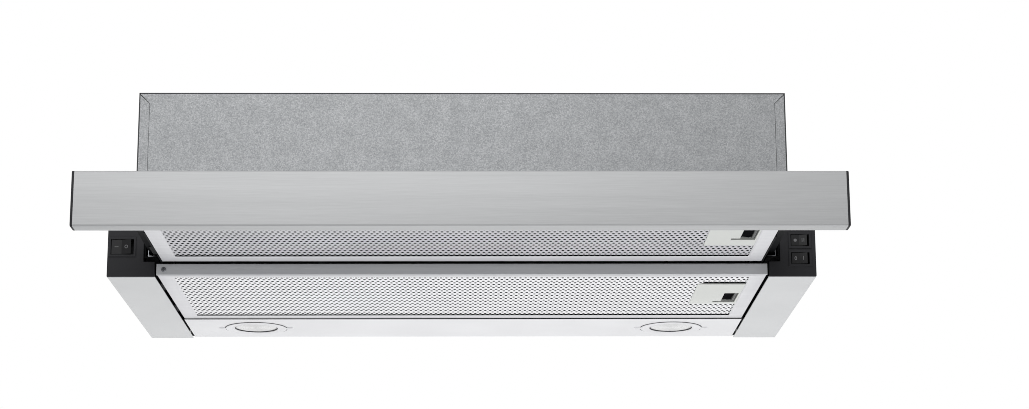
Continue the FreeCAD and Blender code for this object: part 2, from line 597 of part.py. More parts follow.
def outlet_collar():
    """Duct spigot with a base flange, a centre bar, a flap seat and pivot holes."""
    inner = COLLAR_R - 2
    profile = [(inner, -SHEET), (COLLAR_R - 0.2, -SHEET), (COLLAR_R - 0.2, 0), (COLLAR_R + 8, 0),
               (COLLAR_R + 8, 1.5),
               (COLLAR_R, 1.5), (COLLAR_R, COLLAR_H), (inner, COLLAR_H), (inner, 7.5), (inner - 2.5, 7.0),
               (inner - 2.5, 5.5), (inner, 4.5)]
    shape = turned(profile, (0, COLLAR_Y, 0))
    bar = box((-1.2, 1.2), (COLLAR_Y - inner - 0.5, COLLAR_Y + inner + 0.5), (FLAP_Z - 3, FLAP_Z + 2))
    shape = joined(shape, bar)
    for x in (-FLAP_X, FLAP_X):
        shape = shape.cut(rod(STUB_R + HINGE_GAP, (x, COLLAR_Y - COLLAR_R - 1, FLAP_Z),
                              (x, COLLAR_Y + COLLAR_R + 1, FLAP_Z)))
        shape = shape.cut(box((x - 2.6, x + 2.6), (COLLAR_Y - FLAP_R - 0.6, COLLAR_Y + FLAP_R + 0.6),
                              (FLAP_Z - 4, FLAP_Z - 0.5)))
    return shape


def flap(side):
    """Half-round non-return flap with a pivot tube and two stubs."""
    half = math.sqrt(FLAP_R ** 2 - FLAP_X ** 2)
    disc = rod(FLAP_R, (0, 0, FLAP_Z - 0.6), (0, 0, FLAP_Z + 0.6))
    plate = disc.common(box(across(side, FLAP_X, FLAP_R), (-FLAP_R, FLAP_R), (0, 20)))
    x = side * FLAP_X
    tube = rod(2.0, (x, -half + 0.6, FLAP_Z), (x, half - 0.6, FLAP_Z))
    stub = rod(STUB_R, (x, -COLLAR_R + 0.6, FLAP_Z), (x, COLLAR_R - 0.6, FLAP_Z))
    return placed(joined(plate, tube, stub), move=(0, COLLAR_Y, 0))


def cable_gland():
    """Gland for the mains cable: hexagon and body above the top, nut below."""
    corners = [math.radians(60 * index) for index in range(6)]
    hexagon = [(GLAND_X + 11 * math.cos(turn), GLAND_Y + 11 * math.sin(turn), 0) for turn in corners]
    nut = [(x, y, -SHEET) for x, y, _ in hexagon]
    top = prism(hexagon, (0, 0, 6))
    core = rod(GLAND_R - 0.2, (GLAND_X, GLAND_Y, -9), (GLAND_X, GLAND_Y, 13))
    shape = joined(top, prism(nut, (0, 0, -5)), core)
    return shape.cut(rod(CORD_R, (GLAND_X, GLAND_Y, -10), (GLAND_X, GLAND_Y, 14)))


def terminal_box():
    """Junction box under the top, beside the gland."""
    x, y, z = (GLAND_X + 14, GLAND_X + 74), (GLAND_Y - 22, GLAND_Y + 22), (-SHEET - 30, -SHEET)
    shell = box(x, y, z)
    hollow = box((x[0] + 2, x[1] - 2), (y[0] + 2, y[1] - 2), (z[0] + 2, z[1] + 1))
    entry = rod(5, (x[0] - 1, GLAND_Y, -16), (x[0] + 3, GLAND_Y, -16))
    block = box((x[0] + 10, x[1] - 10), (GLAND_Y - 8, GLAND_Y + 8), (z[0] + 2, z[0] + 14))
    return joined(shell.cut(hollow).cut(entry), block)


def capacitor():
    """Motor run capacitor on the rear wall."""
    y, z = REAR - SHEET - 16, BLOWER_Z + 10
    can = rod(15, (MOTOR_X, y, z), (MOTOR_X + 55, y, z))
    stud = rod(4, (MOTOR_X + 55, y, z), (MOTOR_X + 63, y, z))
    foot = box((MOTOR_X + 20, MOTOR_X + 36), (y + 10, REAR - SHEET), (z - 6, z + 6))
    return joined(can, stud, foot)


def lead(*points):
    """A sheathed lead: straight runs joined by tangent arcs as large as the runs allow."""
    corners = [Vector(*point) for point in points]
    edges, start = [], corners[0]
    for before, corner, after in zip(corners, corners[1:], corners[2:]):
        back, ahead = (before - corner).normalize(), (after - corner).normalize()
        half = back.getAngle(ahead) / 2
        shorter = min(before.distanceToPoint(corner), after.distanceToPoint(corner))
        reach = min(0.45 * shorter, LEAD_BEND / math.tan(half))
        radius = reach * math.tan(half)
        middle = (back + ahead).normalize()
        first, last = corner + back * reach, corner + ahead * reach
        top = corner + middle * (radius / math.sin(half) - radius)
        edges += [Part.makeLine(start, first), Part.Arc(first, top, last).toShape()]
        start = last
    edges.append(Part.makeLine(start, corners[-1]))
    circle = Part.makeCircle(LEAD_R, corners[0], corners[1] - corners[0])
    return Part.Wire(edges).makePipeShell([Part.Wire([circle])], True, False)


def wiring_loom():
    """Leads from the junction box to the motor, the switches and the lamps."""
    top, low, back = -16.0, LAMP_Z + 16, REAR - 8
    box_x, box_y = (GLAND_X + 14, GLAND_X + 74), (GLAND_Y - 22, GLAND_Y + 22)
    motor_end = MOTOR_X + MOTOR_L
    switch_y = FRONT + SWITCH_D + 8
    leads = [lead((box_x[0] + 16, box_y[0], top), (box_x[0] + 16, BLOWER_Y + 24, top),
                  (box_x[0] + 16, BLOWER_Y + 24, BLOWER_Z), (motor_end, BLOWER_Y + 24, BLOWER_Z)),
             lead((box_x[1], GLAND_Y, top), (LEAD_X, GLAND_Y, top), (LEAD_X, LEAD_Y, top),
                  (LEAD_X, LEAD_Y, BOTTOM + 31), (LEAD_X, switch_y + 20, BOTTOM + 31),
                  (LEAD_X + 6, switch_y, BOTTOM + 31)),
             lead((box_x[0], GLAND_Y + 12, top - 6), (box_x[0] - 8, GLAND_Y + 12, top - 6),
                  (box_x[0] - 8, back, top - 6), (-LEAD_X, back, top - 6), (-LEAD_X, LEAD_Y, top - 6),
                  (-LEAD_X, LEAD_Y, BOTTOM + 26), (-LEAD_X, switch_y + 20, BOTTOM + 26),
                  (-LEAD_X - 6, switch_y, BOTTOM + 26))]
    leads += [lead((side * LAMP_X, back, top - 10), (side * LAMP_X, back, low),
                   (side * LAMP_X, LAMP_Y + MODULE_R + GAP, low)) for side in (-1, 1)]
    return Part.makeCompound(leads)


# Screws ---------------------------------------------------------------------
def housing_screws():
    """Screws of the side panels, the arms and the front rail."""
    screws = [screw(2.15, (-RAIL_SCREW_X, FRONT, BOTTOM + 6), (0, -1, 0), 2.5)]
    for side in (-1, 1):
        for z in (DECK_Z + 20, -30):
            screws.append(screw(3.0, (side * HALF_H, REAR - 12, z), (side, 0, 0), 0.8))
            screws.append(screw(3.0, (side * HALF_H, HOUSING_FRONT + 12, z), (side, 0, 0), 0.8))
    return screws


def slide_screws():
    """Screws that hold the runners to the slide's sides."""
    return [screw(2.6, (side * (SLIDE - SHEET), y, BOTTOM + 28), (-side, 0, 0), 0.8)
            for side in (-1, 1) for y in (INNER_Y[0] + 20, SLIDE_REAR - 20)]


def with_holes(shape, screws):
    """Cut the screws' places out of a shape."""
    return shape.cut(screws)


# Write every node -----------------------------------------------------------
def main():
    os.makedirs("parts", exist_ok=True)
    body_screws, runner_screws = housing_screws(), slide_screws()
    save("housing_screws", Part.makeCompound(body_screws))
    save("slide_screws", Part.makeCompound(runner_screws))
    save("housing_wrap", housing_wrap())
    save("front_deck", front_deck())
    save("front_cross_rail", with_holes(front_cross_rail(), body_screws))
    save("light_panel", light_panel())
    for word, side in SIDES.items():
        save(f"housing_side_{word}", with_holes(housing_side(side), body_screws))
        save(f"side_arm_{word}", side_arm(side))
        save(f"inner_wall_{word}", inner_wall(side))
        save(f"switch_box_{word}", switch_box(side))
        save(f"lamp_ring_{word}", lamp_ring(side))
        save(f"lamp_lens_{word}", lamp_lens(side))
        save(f"led_module_{word}", led_module(side))
        save(f"slide_side_{word}", with_holes(slide_side(side), runner_screws))
        save(f"fascia_cap_{word}", fascia_cap(side))
        save(f"runner_outer_{word}",
             channel(side, WALL_X, BALL_X - 4, OUTER_Y, (RUN_LOW, RUN_HIGH), RUN_T))
        save(f"runner_inner_{word}",
             channel(side, SLIDE, INNER_FAR, INNER_Y, (INNER_LOW, INNER_HIGH), RUN_T))
        save(f"ball_cage_{word}", ball_cage(side))
        save(f"flap_{word}", flap(side))
    save("slide_top_plate", slide_top_plate())
    save("fascia", fascia())
    for name in SWITCHES:
        save(f"{name}_switch_body", switch_body(name))
        save(f"{name}_rocker", rocker(name))
    for word, cassette in {"rear": REAR_FILTER, "front": FRONT_FILTER}.items():
        save(f"{word}_filter_frame", cassette.frame())
        save(f"{word}_filter_mesh", cassette.mesh())
        save(f"{word}_latch_plate", cassette.latch_plate())
        save(f"{word}_latch", cassette.latch())
        save(f"{word}_latch_spring", cassette.spring())
    save("scroll_housing", scroll_housing())
    save("impeller", impeller())
    save("motor_shaft", motor_shaft())
    save("motor", motor())
    save("motor_bracket", motor_bracket())
    save("outlet_collar", outlet_collar())
    save("cable_gland", cable_gland())
    save("terminal_box", terminal_box())
    save("capacitor", capacitor())
    save("wiring_loom", wiring_loom())


main()
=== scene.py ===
"""Looks of a telescopic under-cabinet range hood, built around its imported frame.

Each sub-assembly is a class with its sizes in millimetres.  A shape is a numpy
surface: a section carried along a straight line or round a rectangle, a profile
turned about an axis, or a cell repeated on a lattice.
"""

import json
import logging
import math
from dataclasses import dataclass, field
from enum import Enum
from typing import Callable, Iterable, Sequence

import bmesh
import bpy
import numpy as np
from mathutils import Matrix, Vector

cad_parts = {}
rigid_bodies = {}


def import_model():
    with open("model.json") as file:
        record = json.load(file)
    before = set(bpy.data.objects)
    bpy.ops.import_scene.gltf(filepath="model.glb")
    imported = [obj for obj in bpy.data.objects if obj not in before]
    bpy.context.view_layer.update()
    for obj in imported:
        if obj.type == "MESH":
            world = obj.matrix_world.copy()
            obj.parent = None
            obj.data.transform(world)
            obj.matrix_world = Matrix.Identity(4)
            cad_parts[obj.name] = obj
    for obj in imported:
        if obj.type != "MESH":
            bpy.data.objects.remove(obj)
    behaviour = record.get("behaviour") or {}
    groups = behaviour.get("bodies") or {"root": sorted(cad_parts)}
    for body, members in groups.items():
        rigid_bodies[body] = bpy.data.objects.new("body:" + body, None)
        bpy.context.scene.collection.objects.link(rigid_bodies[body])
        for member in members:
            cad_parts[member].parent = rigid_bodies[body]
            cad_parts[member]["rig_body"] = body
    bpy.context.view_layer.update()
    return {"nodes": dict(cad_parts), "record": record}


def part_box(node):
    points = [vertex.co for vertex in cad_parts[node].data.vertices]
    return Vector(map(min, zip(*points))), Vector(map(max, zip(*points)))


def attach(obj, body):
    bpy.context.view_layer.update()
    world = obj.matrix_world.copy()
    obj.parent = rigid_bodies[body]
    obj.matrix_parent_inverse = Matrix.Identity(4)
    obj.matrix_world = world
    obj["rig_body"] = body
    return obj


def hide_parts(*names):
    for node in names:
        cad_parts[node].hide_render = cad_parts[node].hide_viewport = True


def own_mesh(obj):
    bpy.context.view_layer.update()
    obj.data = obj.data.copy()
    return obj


log = logging.getLogger("range_hood")
MM = 0.001
LENS_STEPS = 96
HEAD_STEPS = 48
Point = tuple[float, float, float]
Loop = np.ndarray


class Side(Enum):
    """The hood's two sides, with the sign of X on each."""

    LEFT = -1
    RIGHT = 1

    @property
    def word(self) -> str:
        """The side's name as the nodes spell it."""
        return self.name.lower()


# Colours and shader nodes ---------------------------------------------------
def linear(code: str, alpha: float = 1.0) -> tuple[float, float, float, float]:
    """Turn an sRGB hex colour into linear light.

    Args:
        code: Six hex digits, such as "C4C4C4".
        alpha: Opacity of the result.

    Returns:
        Linear red, green, blue and alpha.
    """
    values = [int(code[index:index + 2], 16) / 255 for index in (0, 2, 4)]
    light = [v / 12.92 if v <= 0.04045 else ((v + 0.055) / 1.055) ** 2.4 for v in values]
    return light[0], light[1], light[2], alpha


@dataclass
class Surface:
    """A material under construction, with its Principled shader."""

    material: bpy.types.Material
    shader: bpy.types.Node

    def node(self, kind: str, links: dict | None = None, **settings) -> bpy.types.Node:
        """Add one shader node with its settings and incoming links.

        Args:
            kind: Node type without the ShaderNode prefix.
            links: Input name or index to an output socket, or to a plain value.
            **settings: Attributes of the node.

        Returns:
            The new node.
        """
        tree = self.material.node_tree
        node = tree.nodes.new(f"ShaderNode{kind}")
        for name, value in settings.items():
            setattr(node, name, value)
        for name, value in (links or {}).items():
            if isinstance(value, bpy.types.NodeSocket):
                tree.links.new(value, node.inputs[name])
            else:
                node.inputs[name].default_value = value
        return node

    def ramp(self, factor: bpy.types.NodeSocket, stops: Sequence[tuple[float, str]]) -> bpy.types.NodeSocket:
        """Blend hex colours, given as pairs of position and colour, along a factor."""
        node = self.node("ValToRGB", {"Fac": factor})
        elements = node.color_ramp.elements
        while len(elements) < len(stops):
            elements.new(0.5)
        for element, (place, code) in zip(elements, stops):
            element.position = place
            element.color = linear(code)
        return node.outputs["Color"]

    def where(self, *step_mm: float) -> bpy.types.NodeSocket:
        """Object coordinates scaled so that one unit is one pattern step along X, Y and Z."""
        place = self.node("TexCoord")
        scale = tuple(1 / step / MM for step in step_mm)
        return self.node("Mapping", {"Vector": place.outputs["Object"], "Scale": scale}).outputs["Vector"]

    def noise(self, where: bpy.types.NodeSocket, scale: float, detail: float, roughness: float = 0.5
              ) -> bpy.types.NodeSocket:
        """Fractal noise on a scaled vector, as a factor."""
        return self.node("TexNoise", {"Vector": where, "Scale": scale, "Detail": detail,
                                      "Roughness": roughness}).outputs["Fac"]

    def mixed(self, share: float, first: bpy.types.NodeSocket, second: bpy.types.NodeSocket
              ) -> bpy.types.NodeSocket:
        """Blend of two outputs, with this share of the second."""
        return self.node("MixRGB", {"Fac": share, "Color1": first, "Color2": second}).outputs["Color"]

    def finish(self, colour: bpy.types.NodeSocket, gloss: bpy.types.NodeSocket, rough: tuple[float, float],
               height: bpy.types.NodeSocket, depth_mm: float, strength: float = 1.0) -> None:
        """Wire a pattern into the shader.

        Args:
            colour: The base colour.
            gloss: Pattern from 0 to 1 that drives the roughness.
            rough: Roughness where the pattern is 0 and 1.
            height: Pattern from 0 to 1 that drives the bump.
            depth_mm: Real depth of the bump.
            strength: Share of the bump that is kept.
        """
        level = self.node("MapRange", {"Value": gloss, "To Min": rough[0], "To Max": rough[1]})
        bump = self.node("Bump", {"Height": height, "Distance": depth_mm * MM, "Strength": strength})
        for socket, name in ((colour, "Base Color"), (level.outputs["Result"], "Roughness"),
                             (bump.outputs["Normal"], "Normal")):
            self.material.node_tree.links.new(socket, self.shader.inputs[name])


@dataclass(frozen=True)
class Finish:
    """A named surface finish, with the shader's plain values and one pattern.

    Attributes:
        name: What the finish is called in a workshop.
        base: Hex colour of the plain surface.
        metallic: 0 for paint and plastic, 1 for bare metal.
        roughness: Mean roughness.
        coat: Weight of a clear coat.
        specular: Level of the surface's own gloss, 0.5 for most materials.
        pattern: Function that adds the finish's own nodes.
    """

    name: str
    base: str
    metallic: float = 0.0
    roughness: float = 0.5
    coat: float = 0.0
    specular: float = 0.5
    pattern: Callable[[Surface], None] | None = None

    def build(self) -> bpy.types.Material:
        """Return the finish's material, made once and then shared."""
        found = bpy.data.materials.get(self.name)
        if found:
            return found
        material = bpy.data.materials.new(self.name)
        material.use_nodes = True
        shader = material.node_tree.nodes["Principled BSDF"]
        shader.inputs["Base Color"].default_value = linear(self.base)
        shader.inputs["Metallic"].default_value = self.metallic
        shader.inputs["Roughness"].default_value = self.roughness
        shader.inputs["Coat Weight"].default_value = self.coat
        shader.inputs["Specular IOR Level"].default_value = self.specular
        material.diffuse_color = linear(self.base)
        if self.pattern:
            self.pattern(Surface(material, shader))
        return material


def spangle(codes: Sequence[str], cell_mm: float) -> Callable[[Surface], None]:
    """Hot-dip galvanised spangle: zinc crystals that each catch the light their own way.

    Args:
        codes: Darkest, middle and lightest zinc.
        cell_mm: Mean crystal width.

    Returns:
        The pattern function.
    """
    def add(surface: Surface) -> None:
        where = surface.where(cell_mm, cell_mm, cell_mm)
        cells = surface.node("TexVoronoi", {"Vector": where, "Scale": 1.0, "Randomness": 1.0})
        crystal = surface.node("SeparateColor", {"Color": cells.outputs["Color"]}).outputs
        grain, cloud = surface.noise(where, 0.9, 4.0), surface.noise(where, 0.06, 4.0)
        blend = surface.mixed(0.3, surface.mixed(0.45, crystal["Red"], grain), cloud)
        colour = surface.ramp(blend, list(zip((0.25, 0.5, 0.75), codes)))
        surface.finish(colour, crystal["Green"], (0.45, 0.6), crystal["Blue"], 0.02, 0.3)
    return add


def brushed(codes: Sequence[str], line_mm: float, length_mm: float, rough: tuple[float, float]
            ) -> Callable[[Surface], None]:
    """Brushing along X: long fine scratches of slightly different tone.

    The real lines are under 0.1 mm; they are drawn as wide as line_mm so that they show.

    Args:
        codes: Darkest and lightest metal.
        line_mm: Width of a drawn line.
        length_mm: Length of a drawn line.
        rough: Lowest and highest roughness.

    Returns:
        The pattern function.
    """
    def add(surface: Surface) -> None:
        where = surface.where(length_mm, line_mm, line_mm)
        lines, bands = surface.noise(where, 1.0, 5.0, 0.65), surface.noise(where, 0.12, 2.0)
        colour = surface.ramp(surface.mixed(0.35, lines, bands), list(zip((0.3, 0.7), codes)))
        surface.finish(colour, lines, rough, lines, 0.01, 0.3)
    return add


def speckled(codes: Sequence[str], grain_mm: float, depth_mm: float, rough: tuple[float, float],
             drift_mm: float = 60.0) -> Callable[[Surface], None]:
    """Fine even grain with a slow drift of tone, as on paint or a moulded skin.

    Args:
        codes: Darker and lighter tone.
        grain_mm: Width of a grain.
        depth_mm: Depth of the grain.
        rough: Lowest and highest roughness.
        drift_mm: Width of the slow drift.

    Returns:
        The pattern function.
    """
    def add(surface: Surface) -> None:
        where = surface.where(grain_mm, grain_mm, grain_mm)
        grain, drift = surface.noise(where, 1.0, 2.0), surface.noise(where, grain_mm / drift_mm, 3.0)
        colour = surface.ramp(surface.mixed(0.6, grain, drift), list(zip((0.3, 0.7), codes)))
        surface.finish(colour, grain, rough, grain, depth_mm)
    return add


class Finishes(Enum):
    """Every finish on the hood."""

    # Zinc crystals about 1 mm wide on the housing: soft grey glitter, clouded over a hand's width.
    GALVANISED = Finish("galvanised spangle steel", "9FA2A2", 0.35, 0.5,
                        pattern=spangle(("909294", "A3A5A7", "BBBCBE"), 0.85))
    # The sheared edge of the same sheet: no zinc, so darker; the strips are drawn dark enough to also paint
    # the shade along the housing's edges and in its seams.
    SHEARED = Finish("sheared steel edge", "3C3E3F", 0.4, 0.55,
                     pattern=speckled(("343637", "48494A"), 0.8, 0.01, (0.5, 0.65)))
    # Stainless steel brushed along its length: a broad soft highlight with fine lines.
    BRUSHED = Finish("brushed stainless steel", "D8D8D9", 0.4, 0.55,
                     pattern=brushed(("B2B3B4", "C2C3C4"), 0.7, 30.0, (0.5, 0.62)))
    # Light grey polyester powder: satin with a faint orange-peel grain.
    POWDER = Finish("light grey powder coat", "D3D4D5", 0.0, 0.45,
                    pattern=speckled(("CDCECF", "D6D7D8"), 0.9, 0.03, (0.4, 0.52)))
    # Sprayed silver on the lamp panel: brighter, with metal flake.
    SILVER = Finish("silver paint", "DEDEE0", 0.1, 0.42,
                    pattern=speckled(("E2E2E4", "ECECEE"), 0.6, 0.015, (0.36, 0.48)))
    # Satin anodised bar: even grey with fine lines.
    ANODISED = Finish("satin anodised aluminium", "E4E6E9", 0.1, 0.45,
                      pattern=brushed(("C2C3C6", "CECFD1"), 0.6, 60.0, (0.34, 0.46)))
    # Rolled aluminium of the filter rims: bright and slightly streaked.
    ROLLED = Finish("rolled aluminium", "E4E4E7", 0.2, 0.38,
                    pattern=brushed(("D4D4D7", "E2E2E5"), 0.7, 30.0, (0.32, 0.46)))
    # The same aluminium on the front cassette in its own copy, a touch lighter: a lit copy of one finish, its
    # tone painted light.
    ROLLED_FRONT = Finish("rolled aluminium of the front filter", "D0D0D3", 0.2, 0.38,
                          pattern=brushed(("D6D6D9", "E6E6E9"), 0.7, 30.0, (0.32, 0.46)))
    # Pressed perforated sheet: bright aluminium with a dull bloom.
    PERFORATED = Finish("perforated aluminium sheet", "E0E0E3", 0.25, 0.4,
                        pattern=speckled(("EEEEF0", "FAFAFC"), 1.4, 0.02, (0.34, 0.5), 35.0))
    # The front cassette's sheet, drawn darker than the rear one to stand in for the shade under the slide.
    PERFORATED_FRONT = Finish("perforated aluminium of the front filter", "C8C8CB", 0.25, 0.4,
                              pattern=speckled(("C0C0C4", "D2D2D6"), 1.4, 0.02, (0.34, 0.5), 35.0))
    # Knitted filter pad: drawn nearly black all over as painted shade, so that the openings in front of it
    # look deep.
    KNITTED = Finish("knitted aluminium pad", "121213", 0.0, 0.7, specular=0.0,
                     pattern=speckled(("08080A", "1E1E20"), 1.2, 0.3, (0.6, 0.8), 14.0))
    # Moulded ABS with a fine spark texture: black, softly lit.
    BLACK_ABS = Finish("black textured plastic", "2A2A2C", 0.0, 0.58, specular=0.16,
                       pattern=speckled(("2A2A2C", "363639"), 0.5, 0.02, (0.52, 0.66)))
    # Satin rocker moulding: black with a soft highlight.
    ROCKER = Finish("satin black plastic", "161618", 0.0, 0.48, specular=0.3,
                    pattern=speckled(("141416", "1A1A1C"), 0.7, 0.004, (0.42, 0.54)))
    # Pad-printed marks.
    PRINT = Finish("grey pad print", "6E6E70", 0.0, 0.55,
                   pattern=speckled(("666668", "767678"), 0.3, 0.002, (0.5, 0.6)))
    # Light grey acetal of the latch plates: smooth and slightly green.
    LATCH = Finish("light grey acetal", "D2D4D0", 0.0, 0.38,
                   pattern=speckled(("CED0CC", "D8DAD6"), 0.8, 0.01, (0.34, 0.44)))
    # Dark acetal of the sliding latch.
    LATCH_DARK = Finish("dark grey acetal", "3A3C3B", 0.0, 0.42,
                        pattern=speckled(("333534", "424443"), 0.8, 0.01, (0.38, 0.48)))
    # Runner steel and the motor's can: zinc plated steel drawn dark, painted shade of the body's inside.
    RUNNER = Finish("zinc plated runner steel", "3A3C40", 0.6, 0.4,
                    pattern=brushed(("303236", "4A4C50"), 0.5, 20.0, (0.34, 0.48)))
    # Bright screw heads and springs.
    BRIGHT = Finish("bright zinc plated steel", "8D8F92", 0.9, 0.3,
                    pattern=speckled(("84868A", "9A9C9F"), 0.8, 0.005, (0.24, 0.36)))
    # Opal polycarbonate lens.
    OPAL = Finish("opal polycarbonate", "DCDCDC", 0.0, 0.25, coat=0.2,
                  pattern=speckled(("DADADA", "E2E2E2"), 1.6, 0.02, (0.2, 0.3)))
    # Glass-filled nylon of the blower, collar and gland.
    NYLON = Finish("black glass-filled nylon", "27282A", 0.0, 0.55,
                   pattern=speckled(("222325", "2E2F31"), 0.8, 0.02, (0.5, 0.64)))
    # Cast heat sink.
    CAST = Finish("cast aluminium", "A0A1A3", 0.8, 0.5,
                  pattern=speckled(("939496", "AEAFB1"), 1.0, 0.04, (0.44, 0.6)))
    # Sheet, runners and hooks inside the lower body: drawn black all over as painted shade, so that the gaps
    # look deep.
    INNER = Finish("black coated sheet", "121315", 0.0, 0.65, specular=0.1,
                   pattern=speckled(("0E0F11", "17181A"), 0.8, 0.015, (0.6, 0.72)))
    # Capacitor can.
    CAN = Finish("white capacitor can", "CFCEC6", 0.0, 0.35,
                 pattern=speckled(("C9C8C0", "D5D4CC"), 1.0, 0.01, (0.3, 0.4)))
    # Silicone cable sheath.
    SHEATH = Finish("grey silicone sheath", "3A3A3C", 0.0, 0.6,
                    pattern=speckled(("353537", "414143"), 0.6, 0.02, (0.55, 0.68)))


# Mesh helpers ---------------------------------------------------------------
def make_piece(name: str, points: np.ndarray, faces: Iterable[Sequence[int]], finish: Finishes,
               smooth: bool = True, sharp_degrees: float = 32.0) -> bpy.types.Object:
    """Make a mesh object whose place is in its vertices.

    Args:
        name: Name of the piece.
        points: Array of N by 3 points in millimetres.
        faces: Vertex indices of each face.
        finish: Finish of the whole piece.
        smooth: Shade smooth below the sharp angle.
        sharp_degrees: Edges bent by more than this stay crisp.

    Returns:
        The object, linked to the scene.
    """
    mesh = bpy.data.meshes.new(name)
    faces = faces.tolist() if isinstance(faces, np.ndarray) else [list(face) for face in faces]
    mesh.from_pydata((np.asarray(points, float) * MM).tolist(), [], faces)
    mesh.validate()
    mesh.materials.append(finish.value.build())
    if smooth:
        mesh.shade_smooth()
        mesh.set_sharp_from_angle(angle=math.radians(sharp_degrees))
    piece = bpy.data.objects.new(name, mesh)
    bpy.context.scene.collection.objects.link(piece)
    return piece


def quads(rows: int, columns: int, wrap_rows: bool = False, wrap_columns: bool = False) -> np.ndarray:
    """Faces of a grid whose point (r, c) has index r * columns + c.

    Args:
        rows: Number of rows of points.
        columns: Number of points in a row.
        wrap_rows: Join the last row to the first.
        wrap_columns: Join the last column to the first.

    Returns:
        Array of quads.
    """
    r = np.arange(rows if wrap_rows else rows - 1)
    c = np.arange(columns if wrap_columns else columns - 1)
    r, c = (grid.ravel() for grid in np.meshgrid(r, c, indexing="ij"))
    down, right = (r + 1) % rows, (c + 1) % columns
    return np.stack([r * columns + c, r * columns + right, down * columns + right, down * columns + c], 1)


def rounded_path(corners: Sequence[tuple[float, float]], radius: float, steps: int = 5) -> Loop:
    """Open path through corners with each inner corner rounded by an arc.

    An arc of the radius r starts r * tan(turn / 2) before its corner and ends as far after it; its points are
    centre + r * (cos a, sin a).

    Args:
        corners: Corner points.
        radius: Radius of each bend.
        steps: Segments of each bend.

    Returns:
        Array of points.
    """
    corners = np.asarray(corners, float)
    path = [corners[0]]
    for before, corner, after in zip(corners, corners[1:], corners[2:]):
        back = (before - corner) / np.linalg.norm(before - corner)
        ahead = (after - corner) / np.linalg.norm(after - corner)
        half = math.acos(np.clip(back @ ahead, -1, 1)) / 2
        centre = corner + (back + ahead) / np.linalg.norm(back + ahead) * radius / math.sin(half)
        first, last = (corner + way * radius / math.tan(half) - centre for way in (back, ahead))
        start = math.atan2(first[1], first[0])
        sweep = (math.atan2(last[1], last[0]) - start + math.pi) % (2 * math.pi) - math.pi
        angles = start + sweep * np.linspace(0, 1, steps + 1)
        path.extend(centre + radius * np.stack([np.cos(angles), np.sin(angles)], 1))
    path.append(corners[-1])
    return np.array(path)


def sheet_section(path: Loop, thickness: float) -> Loop:
    """Closed section of a bent sheet: the path moved half the thickness to each side.

    Args:
        path: Open path of the sheet's middle.
        thickness: Sheet thickness.

    Returns:
        Closed loop, out along one side and back along the other.
    """
    step = np.diff(path, axis=0)
    step /= np.linalg.norm(step, axis=1, keepdims=True)
    along = np.vstack([step[:1], step[:-1] + step[1:], step[-1:]])
    along /= np.linalg.norm(along, axis=1, keepdims=True)
    normal = np.stack([-along[:, 1], along[:, 0]], 1) * thickness / 2
    bend = np.ones(len(path))
    bend[1:-1] = 1 / np.clip((step[:-1] * along[1:-1]).sum(1), 0.5, 1)
    normal *= bend[:, None]
    return np.vstack([path + normal, (path - normal)[::-1]])


def extruded(section: Loop, axes: tuple[int, int, int], start: float, end: float) -> tuple[np.ndarray, list]:
    """Straight extrusion of a closed section, closed at both ends.

    Args:
        section: Closed loop of 2-D points.
        axes: Row axes of the section's first and second numbers and of the direction.
        start: Where the extrusion starts.
        end: Where it ends.

    Returns:
        Points and faces.
    """
    count = len(section)
    points = np.zeros((2 * count, 3))
    for row, where in enumerate((start, end)):
        part = slice(row * count, (row + 1) * count)
        points[part, axes[0]], points[part, axes[1]] = section[:, 0], section[:, 1]
        points[part, axes[2]] = where
    faces = quads(2, count, wrap_columns=True).tolist()
    half = count // 2
    strip = [[i, i + 1, count - 2 - i, count - 1 - i] for i in range(half - 1)]
    faces += [list(reversed(face)) for face in strip] + [[i + count for i in face] for face in strip]
    return points, faces


def turned(profile: Sequence[tuple[float, float]], centre: Point, steps: int = 96, close: bool = True
           ) -> tuple[np.ndarray, np.ndarray]:
    """Surface of revolution about Z: (r cos a, r sin a, z) for each profile point.

    Args:
        profile: Pairs of radius and height.
        centre: Point that the profile's zero stands on.
        steps: Segments round the axis.
        close: Join the profile's last point to its first.

    Returns:
        Points and faces.
    """
    profile = np.asarray(profile, float)
    angle = np.linspace(0, 2 * math.pi, steps, endpoint=False)
    radius, height = profile[:, 0][:, None], profile[:, 1][:, None]
    points = np.stack([radius * np.cos(angle), radius * np.sin(angle), height + 0 * angle], 2)
    points = points.reshape(-1, 3) + np.asarray(centre, float)
    return points, quads(len(profile), steps, wrap_rows=close, wrap_columns=True)[:, ::-1]


def rounded_loop(corners: Sequence[tuple[float, float]], radius: float, steps: int = 3) -> Loop:
    """Closed outline with every corner rounded, as rounded_path makes each bend."""
    corners = np.asarray(corners, float)
    middle = (corners[-1] + corners[0]) / 2
    return rounded_path([middle, *corners, middle], radius, steps)[:-1]


def rectangle(low: Sequence[float], high: Sequence[float], radius: float, steps: int = 3) -> Loop:
    """Rounded rectangle between two corners."""
    return rounded_loop([(low[0], low[1]), (high[0], low[1]), (high[0], high[1]), (low[0], high[1])],
                        radius, steps)


def stacked(rings: Sequence[tuple[Loop, float]], axes: tuple[int, int, int] = (0, 1, 2)
            ) -> tuple[np.ndarray, list]:
    """Closed form through outlines of equal point count, each at its own height, with flat ends.

    Args:
        rings: Pairs of outline and height.
        axes: Row axes of the outline's first and second numbers and of the height.

    Returns:
        Points and faces.
    """
    count = len(rings[0][0])
    points = np.zeros((len(rings) * count, 3))
    for row, (loop, height) in enumerate(rings):
        part = slice(row * count, (row + 1) * count)
        points[part, axes[0]], points[part, axes[1]], points[part, axes[2]] = loop[:, 0], loop[:, 1], height
    faces = quads(len(rings), count, wrap_columns=True).tolist()
    return points, faces + [list(range(count)), list(range(len(points) - count, len(points)))]


